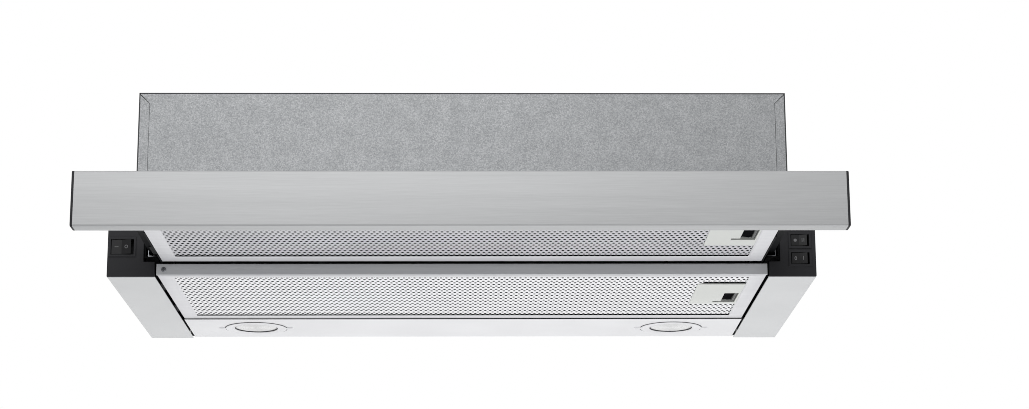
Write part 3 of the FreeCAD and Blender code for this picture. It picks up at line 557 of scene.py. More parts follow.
def plate_rings(low: Sequence[float], high: Sequence[float], heights: tuple[float, float], edge: float,
                radius: float) -> list[tuple[Loop, float]]:
    """Rings of a rounded plate whose top edge is a quarter round of radius edge."""
    bottom, top = heights
    way = math.copysign(1.0, top - bottom)
    rings = [(rectangle(low, high, radius), bottom)]
    for angle in np.radians((0, 30, 60, 90)):
        inset = edge * (1 - math.cos(angle))
        corners = [value + inset for value in low], [value - inset for value in high]
        height = top - way * edge * (1 - math.sin(angle))
        rings.append((rectangle(*corners, max(radius - inset, 0.05)), height))
    return rings


def framed(section: Loop, low: np.ndarray, high: np.ndarray, widths: tuple[float, float, float, float],
           base: float) -> tuple[np.ndarray, np.ndarray]:
    """A section carried round a mitred rectangle.

    A section point (u, h) with u from 0 at the outside to 1 at the inside stands u times each side's own
    width inside the rectangle, at the height base + h.

    Args:
        section: Closed loop of (u, h).
        low: Outer low corner.
        high: Outer high corner.
        widths: Widths of the left, front, right and rear sides.
        base: Height of the section's zero.

    Returns:
        Points and faces.
    """
    u, height = section[:, 0][:, None], section[:, 1][:, None]
    left, front, right, rear = widths
    x = np.hstack([low[0] + left * u, high[0] - right * u, high[0] - right * u, low[0] + left * u])
    y = np.hstack([low[1] + front * u, low[1] + front * u, high[1] - rear * u, high[1] - rear * u])
    points = np.stack([x, y, base + height + 0 * x], 2).reshape(-1, 3)
    return points, quads(len(section), 4, wrap_rows=True, wrap_columns=True)


def combined(*parts: tuple[np.ndarray, Iterable]) -> tuple[np.ndarray, list]:
    """Join several surfaces into one list of points and faces."""
    points, faces, offset = [], [], 0
    for part_points, part_faces in parts:
        part_faces = part_faces.tolist() if isinstance(part_faces, np.ndarray) else part_faces
        points.append(np.asarray(part_points, float))
        faces.extend([index + offset for index in face] for face in part_faces)
        offset += len(part_points)
    return np.vstack(points), faces


def carried(points: np.ndarray, origin: Sequence[float], columns: Sequence[Sequence[float]]) -> np.ndarray:
    """Place local points: origin + u * first + v * second + n * third column."""
    return np.asarray(points, float) @ np.asarray(columns, float) + np.asarray(origin, float)


def tidy_normals(piece: bpy.types.Object) -> bpy.types.Object:
    """Merge doubled points and point every face outwards."""
    mesh = bmesh.new()
    mesh.from_mesh(piece.data)
    bmesh.ops.remove_doubles(mesh, verts=mesh.verts, dist=1e-6)
    bmesh.ops.recalc_face_normals(mesh, faces=mesh.faces)
    mesh.to_mesh(piece.data)
    mesh.free()
    return piece


def bounds_of(node: str) -> tuple[np.ndarray, np.ndarray]:
    """Lowest and highest corner of a CAD node, in millimetres."""
    low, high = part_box(node)
    return np.array(low) / MM, np.array(high) / MM


def place(piece: bpy.types.Object, body: str, slot: str, *replaced: str) -> bpy.types.Object:
    """Ride a piece on a body and hide the nodes that it stands for."""
    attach(piece, body)
    if replaced:
        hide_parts(*replaced)
    log.info("%s rides on %s", piece.name, body)
    return piece


def add_piece(name: str, surface: tuple[np.ndarray, Iterable], finish: Finishes, body: str, slot: str,
              *replaced: str) -> bpy.types.Object:
    """Make a piece from its points and faces, clean its mesh and place it.

    Args:
        name: Name of the piece.
        surface: Its points and faces.
        finish: Finish of the whole piece.
        body: Body that it rides on.
        slot: Its material slot; not used.
        *replaced: CAD nodes that it stands for.

    Returns:
        The piece.
    """
    return place(tidy_normals(make_piece(name, *surface, finish)), body, slot, *replaced)


def by_name(groups: dict) -> dict:
    """Turn values with their blank-separated names into names with their value."""
    return {name: value for value, names in groups.items() for name in names.split()}


# Sub-assemblies -------------------------------------------------------------
@dataclass
class CarriedNodes:
    """CAD nodes that keep their shape and get a finish; sheet and moulded ones also get rounded edges."""

    nodes: dict[str, bpy.types.Object]
    slots: dict[str, str]
    finishes: dict[str, Finishes] = field(default_factory=lambda: by_name({
        Finishes.GALVANISED: "housing_wrap housing_side front_deck slide_top scroll_housing motor_bracket",
        Finishes.POWDER: "side_arm",
        # Walls, slide sides and runners inside the lower body take the black finish: painted shade.
        Finishes.INNER: "inner_wall slide_side runner_outer runner_inner",
        Finishes.ANODISED: "front_cross_rail",
        Finishes.SILVER: "light_panel lamp_ring",
        Finishes.BLACK_ABS: "switch_box fascia_cap light_switch fan_switch speed_switch",
        Finishes.ROCKER: "light_rocker fan_rocker speed_rocker",
        Finishes.OPAL: "lamp_lens",
        Finishes.CAST: "led_module",
        Finishes.ROLLED: "rear_filter_frame",
        Finishes.ROLLED_FRONT: "front_filter_frame",
        Finishes.PERFORATED: "rear_filter_mesh",
        Finishes.PERFORATED_FRONT: "front_filter_mesh",
        Finishes.LATCH: "rear_latch_plate front_latch_plate",
        Finishes.LATCH_DARK: "rear_latch front_latch",
        Finishes.BRUSHED: "fascia",
        # The other runner parts and the motor take the dark runner finish: painted shade.
        Finishes.RUNNER: "runner motor",
        Finishes.BRIGHT: "rear_latch_spring front_latch_spring ball_cage motor_shaft housing_screws "
                         "slide_screws",
        Finishes.NYLON: "impeller outlet_collar flap cable_gland terminal_box",
        Finishes.CAN: "capacitor",
        Finishes.SHEATH: "wiring_loom"}))
    edges: dict[str, float] = field(default_factory=lambda: by_name({
        0.6: "side_arm",
        0.5: "front_cross_rail switch_box",
        0.3: "light_switch fan_switch speed_switch light_rocker fan_rocker speed_rocker light_panel "
             "rear_latch front_latch slide_top",
        0.8: "terminal_box"}))

    def dress(self) -> None:
        """Give each node the finish whose key is the longest start of its name, and round some edges."""
        for name, node in self.nodes.items():
            material = self.finishes[self.key(name, self.finishes)].value.build()
            for slot in node.material_slots:
                slot.material = material
            if self.key(name, self.edges) and not name.endswith("spring"):
                self.rounded_copy(name, node, self.edges[self.key(name, self.edges)])
            log.info("%s is %s", name, material.name)

    @staticmethod
    def key(name: str, table: dict) -> str | None:
        """The longest key that the name starts with."""
        return max((key for key in table if name.startswith(key)), key=len, default=None)

    def rounded_copy(self, name: str, node: bpy.types.Object, width_mm: float) -> None:
        """Merge a copy's loose triangles into whole faces and round its sharp edges with a bevel.

        Args:
            name: The node's name.
            node: The CAD object.
            width_mm: Width of the rounding.
        """
        mesh = bmesh.new()
        mesh.from_mesh(node.data)
        bmesh.ops.remove_doubles(mesh, verts=mesh.verts, dist=1e-6)
        bmesh.ops.dissolve_limit(mesh, angle_limit=math.radians(1), verts=mesh.verts, edges=mesh.edges)
        data = node.data.copy()
        mesh.to_mesh(data)
        mesh.free()
        data.name = f"{name}_edged"
        data.shade_smooth()
        data.set_sharp_from_angle(angle=math.radians(30))
        piece = bpy.data.objects.new(f"{name}_edged", data)
        bpy.context.scene.collection.objects.link(piece)
        bevel = piece.modifiers.new("edge radius", "BEVEL")
        bevel.width, bevel.segments, bevel.limit_method = width_mm * MM, 2, "ANGLE"
        bevel.angle_limit = math.radians(50)
        bevel.harden_normals = True
        place(piece, node["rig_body"], self.slots[name], name)


@dataclass
class HousingEdges:
    """Sheared edges of the housing's sheet along its front corners, its top and its side returns, drawn dark
    as the bare edge and as painted shade along the edges and in the seams.
    """

    width: float = 1.0
    seam: float = 0.45
    flange: float = 9.0

    def build(self) -> None:
        """Build rounded strips just proud of the sheet: two corners, the top and two seams."""
        low, high = bounds_of("housing_side_left")
        right = bounds_of("housing_side_right")[1][0]
        out, inside = 0.12, self.width
        front, top = low[1] - out, bounds_of("housing_wrap")[1][2]
        strips = []
        for edge, way in ((low[0], 1), (right, -1)):
            x = sorted((edge - way * out, edge + way * inside))
            outline = rectangle((x[0], front), (x[1], front + inside), 0.2)
            strips.append(stacked([(outline, low[2]), (outline, top)]))
            middle = edge + way * (self.flange + 0.1)
            half = self.seam / 2
            outline = rectangle((middle - half, front + 0.1), (middle + half, front + inside), 0.1)
            strips.append(stacked([(outline, low[2]), (outline, top - self.flange)]))
        outline = rectangle((front, top - inside), (front + inside, top + out), 0.2)
        strips.append(stacked([(outline, low[0]), (outline, right)], axes=(1, 2, 0)))
        add_piece("housing_sheared_edges", combined(*strips), Finishes.SHEARED, "hood", "galvanised_steel")


@dataclass
class Fascia:
    """Brushed channel across the canopy's front with a hem along each flange, and its end caps."""

    thickness: float = 0.9
    bend: float = 1.3
    hem: float = 3.0
    cap_edge: float = 0.7
    cap_corner: float = 1.6

    def build(self) -> None:
        """Build the channel and both caps."""
        self.channel()
        for side in Side:
            self.cap(side)

    def channel(self) -> None:
        """Build the channel: a C open to the rear, each flange ending in a short inward hem."""
        low, high = bounds_of("fascia")
        half = self.thickness / 2
        y0, y1, z0, z1 = low[1] + half, high[1] - half, low[2] + half, high[2] - half
        corners = [(y1, z0 + self.hem), (y1, z0), (y0, z0), (y0, z1), (y1, z1), (y1, z1 - self.hem)]
        section = sheet_section(rounded_path(corners, self.bend), self.thickness)
        add_piece("fascia_channel", extruded(section, (1, 2, 0), low[0], high[0]), Finishes.BRUSHED,
                  "slide", "brushed_steel", "fascia")

    def cap(self, side: Side) -> None:
        """Build a moulded cap: a plate with a rounded outer edge and a plug inside the channel."""
        name = f"fascia_cap_{side.word}"
        low, high = bounds_of(name)
        outer = high[0] if side is Side.RIGHT else low[0]
        inner = bounds_of("fascia")[1 if side is Side.RIGHT else 0][0]
        tip = low[0] if side is Side.RIGHT else high[0]
        plate = stacked(plate_rings(low[1:], high[1:], (inner, outer), self.cap_edge, self.cap_corner),
                        axes=(1, 2, 0))
        wall = self.thickness + 0.5
        plug = stacked(plate_rings(low[1:] + wall, high[1:] - wall, (inner, tip), 1.0, 2.0), axes=(1, 2, 0))
        add_piece(f"{name}_moulding", combined(plate, plug), Finishes.BLACK_ABS,
                  "slide", "black_plastic", name)


@dataclass
class GreaseFilter:
    """Cassette: rolled rim, one perforated face, a knitted pad behind it and two hooks."""

    word: str
    rim: Finishes
    face: Finishes
    pitch: float = 4.5
    stretch: float = 1.7
    hole: float = 1.29
    sheet: float = 0.12
    rear_gap: float = 1.4
    front_gap: float = 1.6
    hook_reach: float = 4.6
    hook_width: float = 26.0
    cover: float = 3.0
    pad_margin: float = 1.0

    def build(self) -> None:
        """Build the rim, the perforated face, the pad and the hooks."""
        self.low, self.high = bounds_of(f"{self.word}_filter_frame")
        self.low[0] += self.hook_reach
        self.mesh_low, self.mesh_high = bounds_of(f"{self.word}_filter_mesh")
        self.plate_low, self.plate_high = bounds_of(f"{self.word}_latch_plate")
        self.rolled_rim()
        self.perforated_faces()
        self.pad()
        self.hooks()

    def rolled_rim(self) -> None:
        """Rim: a rounded channel section carried round the cassette, with a raised inner lip.

        In the section u runs from the outside (0) to the window (1) and h upwards from the lower face.
        """
        front_left = self.mesh_low + self.cover - self.low
        rear_right = self.high - self.mesh_high + self.cover
        widths = (front_left[0], front_left[1], rear_right[0], rear_right[1])
        depth = self.high[2] - self.low[2]
        scale = widths[0]
        corners = [(0, 0), (scale - 1.4, 0), (scale, 0.9), (scale, depth), (0, depth)]
        section = rounded_loop(corners, 0.45) / (scale, 1)
        points, faces = framed(section, self.low, self.high, widths, self.low[2])
        add_piece(f"{self.word}_rolled_rim", (points, faces), self.rim, f"{self.word}_filter",
                  "filter_aluminium", f"{self.word}_filter_frame")

    def lattice(self) -> np.ndarray:
        """Centres of a staggered lattice over the window, clear of the latch plate's front edge.

        The centre (i, j) is at ((i + j mod 2 / 2) p, j s p sqrt(3) / 2), where p is the pitch and s the
        stretch.  The real openings are shorter; they are drawn this long so that they show.
        """
        row, cover = self.stretch * self.pitch * math.sqrt(3) / 2, self.pitch * 0.6
        low = self.mesh_low[:2]
        high = np.array([self.mesh_high[0], self.mesh_high[1] - self.cover - self.rear_gap])
        columns, rows = int((high[0] - low[0]) / self.pitch), int((high[1] - low[1]) / row)
        i, j = np.meshgrid(np.arange(columns), np.arange(rows))
        x = low[0] + (i + 0.25 + 0.5 * (j % 2)) * self.pitch
        y = high[1] - (j + 0.6) * row
        centres = np.stack([x.ravel(), y.ravel()], 1)
        behind = ((centres[:, 0] > self.plate_low[0] + cover) & (centres[:, 1] < self.plate_high[1] - cover)
                  & (centres[:, 1] > self.plate_low[1] - self.front_gap - row / 2))
        return centres[~behind]

    def perforated_faces(self) -> None:
        """Sheet of hexagonal cells drawn out along Y, each with an oval hole and its short wall.

        A cell's outer ring has the hexagon's six corners and two side middles; eight quads join it to the
        eight-sided hole, and eight more go up the hole's wall by the sheet's thickness.
        """
        centres = self.lattice()
        outer = np.radians([0, 30, 90, 150, 180, 210, 270, 330])
        middles = np.isin(np.arange(8), (0, 4))
        reach = np.where(middles, self.pitch / 2, self.pitch / math.sqrt(3))
        inner = np.radians(np.arange(8) * 45.0)
        flat, rise = np.zeros(8), np.full(8, self.sheet)
        cell = np.vstack([np.stack([reach * np.cos(outer), reach * np.sin(outer), flat], 1),
                          np.stack([self.hole * np.cos(inner), self.hole * np.sin(inner), flat], 1),
                          np.stack([self.hole * np.cos(inner), self.hole * np.sin(inner), rise], 1)])
        cell[:, 1] *= self.stretch
        base = np.column_stack([centres, np.full(len(centres), self.mesh_low[2])])
        points = (base[:, None, :] + cell[None]).reshape(-1, 3)
        cell_faces = quads(3, 8, wrap_columns=True)[:, ::-1]
        faces = (cell_faces[None] + (np.arange(len(centres)) * len(cell))[:, None, None]).reshape(-1, 4)
        first, back = np.unique(np.round(points, 3), axis=0, return_index=True, return_inverse=True)[1:]
        points, faces = points[first], back.reshape(-1)[faces]
        piece = make_piece(f"{self.word}_perforated_face", points, faces, self.face, sharp_degrees=50)
        place(piece, f"{self.word}_filter", "mesh_aluminium", f"{self.word}_filter_mesh")

    def pad(self) -> None:
        """Knitted pad, drawn nearly black as painted shade, with a black strip along the rear rim that paints
        the shadow in the gap there.

        The pad's faces are rippled: z = z0 + a sin(2 pi x / p) sin(2 pi y / p).
        """
        step, ripple, wave, thickness = 2.6, 7.8, 0.45, 3.6
        x = np.arange(self.mesh_low[0] + self.pad_margin, self.mesh_high[0] - self.pad_margin, step)
        y = np.arange(self.mesh_low[1] + self.pad_margin, self.mesh_high[1] - self.pad_margin, step)
        gx, gy = np.meshgrid(x, y)
        turns = 2 * math.pi / ripple
        z = self.mesh_low[2] + 1.9 + wave * np.sin(turns * gx) * np.sin(turns * gy)
        lower = np.stack([gx, gy, z], 2).reshape(-1, 3)
        upper = lower + (0, 0, thickness - wave)
        faces = quads(len(y), len(x))
        rim = np.concatenate([np.arange(len(x)), np.arange(1, len(y)) * len(x) + len(x) - 1,
                              (len(y) - 1) * len(x) + np.arange(len(x) - 2, -1, -1),
                              np.arange(len(y) - 2, 0, -1) * len(x)])
        after = np.roll(rim, -1)
        walls = np.stack([rim, after, after + len(lower), rim + len(lower)], 1)
        points = np.vstack([lower, upper])
        rear = self.mesh_high[1] - self.cover
        # A black strip in front of the rear rim: painted shadow in the gap between the face and the rim.
        shade_strip_outline = rectangle((rear - 1.0, self.low[2] + 0.05), (rear - 0.2, self.mesh_low[2] + 1.4), 0.2)
        ends = self.mesh_low[0] + self.cover + 0.2, self.mesh_high[0] - self.cover - 0.2
        strip = stacked([(shade_strip_outline, end) for end in ends], axes=(1, 2, 0))
        body = points, np.vstack([faces[:, ::-1], faces + len(lower), walls])
        add_piece(f"{self.word}_knitted_pad", combined(body, strip), Finishes.KNITTED,
                  f"{self.word}_filter", "mesh_aluminium")

    def hooks(self) -> None:
        """Two sprung hooks on the left edge, each a strip with its tip bent up."""
        quarter = (self.high[1] - self.low[1]) / 4
        strips = []
        for middle in (self.low[1] + quarter, self.high[1] - quarter):
            path = rounded_path([(self.low[0] + 2, self.low[2] + 0.5), (self.low[0] - self.hook_reach + 0.6,
                                                                       self.low[2] + 0.5),
                                 (self.low[0] - self.hook_reach + 0.6, self.low[2] + 1.6)], 0.5)
            strips.append(extruded(sheet_section(path, 0.6), (0, 2, 1), middle - self.hook_width / 2,
                                   middle + self.hook_width / 2))
        # The hooks take the black finish: painted shade in the gap beside the filter.
        add_piece(f"{self.word}_filter_hooks", combined(*strips), Finishes.INNER,
                  f"{self.word}_filter", "filter_aluminium")


@dataclass
class Lamp:
    """Recessed lamp: a dished ring with two screwed ears, dark seals round it and its lens that also paint
    the shade at their steps, and the lens.
    """

    side: Side
    ring_r: float = 28.5
    lens_r: float = 19.5
    tube_r: float = 24.7
    ear_reach: float = 6.0
    ear_width: float = 7.0
    gasket: float = 0.6
    head_r: float = 2.1

    def build(self) -> None:
        """Build the ring, its gasket and the lens."""
        ring, lens = f"lamp_ring_{self.side.word}", f"lamp_lens_{self.side.word}"
        low, high = bounds_of(ring)
        self.centre = ((low[0] + high[0]) / 2, (low[1] + high[1]) / 2, low[2])
        self.ring_piece(ring)
        self.gasket_piece(ring)
        self.lens_piece(lens)

    def ears(self) -> list[tuple[np.ndarray, list]]:
        """Both ears, as rounded plates."""
        x, y, z = self.centre
        half, plates = self.ear_width / 2, []
        for way in (-1, 1):
            ends = sorted((x + way * (self.ring_r - 1), x + way * (self.ring_r + self.ear_reach)))
            plates.append(stacked(plate_rings((ends[0], y - half), (ends[1], y + half), (z + 0.7, z + 0.1),
                                              0.3, 1.6)))
        return plates

    def ring_piece(self, node: str) -> None:
        """Ring: a dished face between a rounded outer rim and a step at the lens, and domed ear screws."""
        r, inner, tube = self.ring_r, self.lens_r, self.tube_r
        profile = [(inner + 0.1, 3.4), (inner + 0.1, 1.6), (inner + 0.7, 0.4), (inner + 1.2, 0.05),
                   (inner + 1.9, 0.1), (inner + 2.6, 0.45), (r - 4, 0.2), (r - 1.6, -0.15), (r - 0.5, -0.1),
                   (r - 0.1, 0.15), (r, 0.5), (r, 0.7), (tube, 0.7), (tube, 8.0), (tube - 1.2, 8.0),
                   (tube - 1.2, 3.4)]
        head = [(0.2, -0.28), (0.9, -0.26), (1.6, -0.16), (self.head_r, 0.02), (self.head_r, 0.3), (0.2, 0.3)]
        x, y, z = self.centre
        heads = [turned(head, (x + way * (r + self.ear_reach / 2), y, z), 24) for way in (-1, 1)]
        parts = [turned(profile, self.centre, 128), *self.ears(), *heads]
        add_piece(f"{node}_turned", combined(*parts), Finishes.SILVER, "hood", "lamp_ring_metal", node)

    def gasket_piece(self, node: str) -> None:
        """Seals drawn dark grey: a thin flat ring that stands out round the bezel, and an upright one round
        the lens; their dark rims also paint the shade at the bezel's edge and at the lens's step.
        """
        r, inner = self.ring_r, self.lens_r
        flat = [(r - 1, 0.3), (r + self.gasket, 0.3), (r + self.gasket, 0.7), (r - 1, 0.7)]
        upright = [(inner + 0.1, 0.55), (inner + 0.5, 0.55), (inner + 0.5, 1.4), (inner + 0.1, 1.4)]
        parts = [turned(flat, self.centre, 128), turned(upright, self.centre, 96)]
        add_piece(f"{node}_seals", combined(*parts), Finishes.SHEATH, "hood", "black_moulding")

    def lens_piece(self, node: str) -> None:
        """Lens: the lower face is z = 1 + 0.12 cos(2 pi r / 2.2), turned up at its edge."""
        radius = np.linspace(0.4, self.lens_r - 2.0, 44)
        ripple = 1.0 + 0.12 * np.cos(2 * math.pi * radius / 2.2)
        edge = [(self.lens_r - 1.2, 1.1), (self.lens_r - 0.5, 1.35), (self.lens_r - 0.1, 1.9),
                (self.lens_r - 0.1, 3.4), (self.lens_r + 2, 3.4), (self.lens_r + 2, 4.6), (0.4, 4.6)]
        profile = [*zip(radius, ripple), *edge]
        points, faces = turned(profile, self.centre, LENS_STEPS, close=False)
        ends = [list(range(LENS_STEPS)), list(range(len(points) - LENS_STEPS, len(points)))]
        add_piece(f"{node}_rippled", (points, faces.tolist() + ends), Finishes.OPAL, "hood", "lamp_diffuser",
                  node)


class Mark(Enum):
    """Generic switch marks."""

    DASH = "dash"
    RING = "ring"
    SQUARE = "square"
    ONE = "one"
    TWO = "two"
    ZERO = "zero"


@dataclass
class Rocker:
    """Raised marks on the two slopes of a rocker."""

    name: str
    left: Mark
    right: Mark
    tilt: float = 8.0
    stroke: float = 0.55
    tall: float = 3.4
    lift: float = 0.12
    rim: float = 2.2
    gap: float = 1.2
    pivot_depth: float = 3.5
    proud: float = 0.6

    def build(self) -> None:
        """Build both marks on the rocker, which stands turned by its tilt at rest."""
        low, high = bounds_of(f"{self.name}_switch_body")
        front = bounds_of("switch_box_left")[0][1]
        half = (high[0] - low[0]) / 2 - self.rim - self.gap
        centre = ((low[0] + high[0]) / 2, (low[2] + high[2]) / 2)
        pivot = np.array([centre[0], front + self.pivot_depth])
        slope = half * math.tan(math.radians(self.tilt))
        parts = []
        for mark, way in ((self.left, -1), (self.right, 1)):
            spot = np.array([centre[0] + way * half / 2, front - self.proud - slope / 2])
            turn = math.radians(-self.tilt)
            rotate = np.array([[math.cos(turn), -math.sin(turn)], [math.sin(turn), math.cos(turn)]])
            spot = rotate @ (spot - pivot) + pivot
            angle = turn - way * math.radians(self.tilt)
            along, out = (math.cos(angle), math.sin(angle), 0), (math.sin(angle), -math.cos(angle), 0)
            for points, faces in self.strokes(mark):
                parts.append((carried(points, (spot[0], spot[1], centre[1]), (along, (0, 0, 1), out)), faces))
        add_piece(f"{self.name}_rocker_marks", combined(*parts), Finishes.PRINT,
                  f"{self.name}_rocker", "rocker_plastic")

    def strokes(self, mark: Mark) -> list[tuple[np.ndarray, Iterable]]:
        """Strokes of a mark in its own frame: u across, v up and n out of the face."""
        half, tall = self.stroke / 2, self.tall / 2
        if mark is Mark.DASH:
            return [self.bar(0, 0, tall, half)]
        if mark is Mark.SQUARE:
            return [self.bar(0, 0, tall * 0.8, tall * 0.8)]
        if mark is Mark.ONE:
            return [self.bar(0, 0, half, tall)]
        if mark is Mark.TWO:
            return [self.bar(-0.8, 0, half, tall), self.bar(0.8, 0, half, tall)]
        wide = tall * (0.62 if mark is Mark.ZERO else 0.9)
        return [self.oval(wide, tall if mark is Mark.ZERO else wide)]

    def bar(self, u: float, v: float, half_u: float, half_v: float) -> tuple[np.ndarray, list]:
        """Rounded bar round the point (u, v)."""
        return stacked(plate_rings((u - half_u, v - half_v), (u + half_u, v + half_v), (-0.1, self.lift),
                                   0.06, min(half_u, half_v) * 0.9))

    def oval(self, half_u: float, half_v: float) -> tuple[np.ndarray, np.ndarray]:
        """Oval ring: a square section turned about the normal, then stretched upwards by half_v / half_u."""
        profile = [(half_u - self.stroke, -0.1), (half_u - self.stroke, self.lift), (half_u, self.lift),
                   (half_u, -0.1)]
        points, faces = turned(profile, (0, 0, 0), 32)
        return points * (1, half_v / half_u, 1), faces


@dataclass
class Screws:
    """Domed screw heads with a cross recess, and their shanks."""

    node: str
    body: str
    slot: str
    axis: Callable[[np.ndarray], Point]
    rise: float = 1.3
    recess: float = 0.9

    def build(self) -> None:
        """Build a head where each loose solid of the node has its own."""
        parts = [self.head(*group) for group in self.groups()]
        add_piece(f"{self.node}_cross_recess", combined(*parts), Finishes.BRIGHT,
                  self.body, self.slot, self.node)

    def groups(self) -> list[tuple[np.ndarray, np.ndarray]]:
        """Lowest and highest corner of each separate screw in the CAD node.

        Every point takes the lowest label among the corners of its triangles, until no label changes.
        """
        mesh = bpy.data.objects[self.node].data
        points, corners = np.empty(len(mesh.vertices) * 3), np.empty(len(mesh.loops), int)
        mesh.vertices.foreach_get("co", points)
        mesh.loops.foreach_get("vertex_index", corners)
        points = points.reshape(-1, 3) / MM
        merged = np.unique(np.round(points, 3), axis=0, return_inverse=True)[1].reshape(-1)
        faces = merged[corners].reshape(-1, 3)
        labels, before = np.arange(merged.max() + 1), None
        while before is None or (labels != before).any():
            before = labels.copy()
            np.minimum.at(labels, faces, labels[faces].min(1)[:, None])
        own = labels[merged]
        boxes = [(points[own == label].min(0), points[own == label].max(0)) for label in np.unique(own)]
        return sorted(boxes, key=lambda box: tuple(np.round(box[0], 2)))

    def head(self, low: np.ndarray, high: np.ndarray) -> tuple[np.ndarray, list]:
        """Dome of height h (1 - (r/R)^2) with a cross sunk into it, and the shank's length below.

        The depth falls with the distance from the nearer arm of the cross, as exp(-(d / w)^4).
        """
        middle, out = (low + high) / 2, np.array(self.axis((low + high) / 2), float)
        along = int(np.argmax(np.abs(out)))
        tip = (high if out[along] > 0 else low)[along]
        across = [axis for axis in range(3) if axis != along]
        radius = float(min((high - low)[across])) / 2
        length = float((high - low)[along])
        r, a = np.meshgrid(np.linspace(0, 1, 12)[1:], np.linspace(0, 2 * math.pi, HEAD_STEPS, endpoint=False),
                           indexing="ij")
        u, v = r * np.cos(a), r * np.sin(a)
        arm = np.minimum(np.abs(u), np.abs(v))
        sunk = self.recess * np.exp(-(arm / 0.17) ** 4) * (np.maximum(np.abs(u), np.abs(v)) < 0.62)
        top = self.rise * (1 - r ** 2) - sunk
        rings = [np.stack([u * radius, v * radius, top], 2).reshape(-1, 3)]
        for share, depth in ((1.0, 0.3), (0.5, 0.3), (0.5, length * 0.7), (0.3, length * 0.9)):
            ring = np.stack([u[-1] * radius * share, v[-1] * radius * share, np.full(HEAD_STEPS, -depth)], 1)
            rings.append(ring)
        points = np.vstack([*rings, [[0, 0, self.rise - self.recess]]])
        count = len(points) - 1
        faces = quads(count // HEAD_STEPS, HEAD_STEPS, wrap_columns=True).tolist()
        faces += [[i, (i + 1) % HEAD_STEPS, count] for i in range(HEAD_STEPS)]
        faces.append(list(range(count - HEAD_STEPS, count)))
        first = np.cross(out, (0.0, 0.0, 1.0)) if abs(out[2]) < 0.9 else np.array([1.0, 0.0, 0.0])
        origin = middle.copy()
        origin[along] = tip - self.rise * 0.9 * out[along]
        return carried(points, origin, (first, np.cross(out, first), out)), faces


@dataclass
class Collar:
    """What the CAD collar lacks: two beads round its tube and ribs down to its flange."""

    tube_r: float = 59.5
    bead_heights: tuple[float, float] = (7.0, 21.0)
    rib_count: int = 12

    def build(self) -> None:
        """Add the beads and the ribs round the CAD collar's tube."""
        low, high = bounds_of("outlet_collar")
        self.centre = ((low[0] + high[0]) / 2, (low[1] + high[1]) / 2, 0.0)
        tube = self.tube_r
        beads = []
        for height in self.bead_heights:
            beads.append(turned([(tube - 0.3, height - 1.2), (tube + 0.4, height - 0.8), (tube + 0.7, height),
                                 (tube + 0.4, height + 0.8), (tube - 0.3, height + 1.2)], self.centre))
        ribs = []
        for angle in np.radians((np.arange(self.rib_count) + 0.5) * 360 / self.rib_count):
            outline = np.array([(tube - 0.5, 1.4), (tube + 5.0, 1.4), (tube + 4.2, 2.4), (tube + 0.6, 5.6),
                                (tube - 0.5, 5.6)])
            points, faces = stacked([(outline, -0.7), (outline, 0.7)], axes=(0, 2, 1))
            way = np.array([[math.cos(angle), math.sin(angle), 0], [-math.sin(angle), math.cos(angle), 0],
                            [0, 0, 1]])
            ribs.append((carried(points, self.centre, way), faces))
        add_piece("outlet_collar_ribs", combined(*beads, *ribs), Finishes.NYLON, "hood", "black_moulding")


@dataclass
class LatchGrips:
    """Finger ribs on each sliding latch."""

    ribs: int = 7
    proud: float = 0.35

    def build(self) -> None:
        """Build the ribs along the grip's inner face, which runs along Y in the pocket."""
        for word in ("rear", "front"):
            low, high = bounds_of(f"{word}_latch")
            step = (high[1] - low[1] - 4) / (self.ribs - 1)
            ribs = []
            for index in range(self.ribs):
                y = low[1] + 2 + index * step
                outline = rectangle((low[0] - self.proud, y - 0.6), (low[0] + 0.5, y + 0.6), 0.3)
                ribs.append(stacked([(outline, low[2] + 0.4), (outline, high[2] - 1.0)]))
            add_piece(f"{word}_latch_ribs", combined(*ribs), Finishes.LATCH_DARK, f"{word}_latch",
                      "latch_plastic")


@dataclass
class LeafSpring:
    """Folded leaf spring between a latch and its pocket's far wall, built in its rest shape; the real one
    flattens as the latch slides.
    """

    word: str
    leaves: int = 5
    thickness: float = 0.3
    half_width: float = 2.85
    bend: float = 0.7
    travel: float = 5.0

    def build(self) -> None:
        """Build the spring as a sheet folded to and fro along X, extruded upwards."""
        low, high = bounds_of(f"{self.word}_latch_spring")
        middle = (low[1] + high[1]) / 2
        places = np.linspace(low[0] + self.thickness / 2, high[0] - self.thickness / 2, self.leaves)
        corners = [(places[0], middle - self.half_width)]
        for index, (near, far) in enumerate(zip(places, places[1:])):
            end = middle + self.half_width * (-1) ** index
            corners += [(near, end), (far, end)]
        corners.append((places[-1], middle + self.half_width * (-1) ** (self.leaves - 1)))
        section = sheet_section(rounded_path(corners, self.bend, 4), self.thickness)
        surface = extruded(section, (0, 1, 2), low[2], high[2])
        piece = add_piece(f"{self.word}_latch_leaf_spring", surface, Finishes.BRIGHT, f"{self.word}_filter",
                          "spring_steel", f"{self.word}_latch_spring")
        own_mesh(piece)


@dataclass
class PanelSeal:
    """Black strip on the lamp panel's front edge, against the rear filter's rim: painted shade in the gap
    between them.
    """

    drop: float = 0.4
    rise: float = 1.2

    def build(self) -> None:
        """Build the strip in the gap between the filter's rim and the panel."""
        filter_rear = bounds_of("rear_filter_frame")[1][1] + 0.08
        low, high = bounds_of("light_panel")
        outline = rectangle((filter_rear, low[2] - self.drop), (low[1], low[2] + self.rise), 0.1)
        strip = stacked([(outline, low[0]), (outline, high[0])], axes=(1, 2, 0))
        add_piece("light_panel_seal", strip, Finishes.INNER, "hood", "black_moulding")


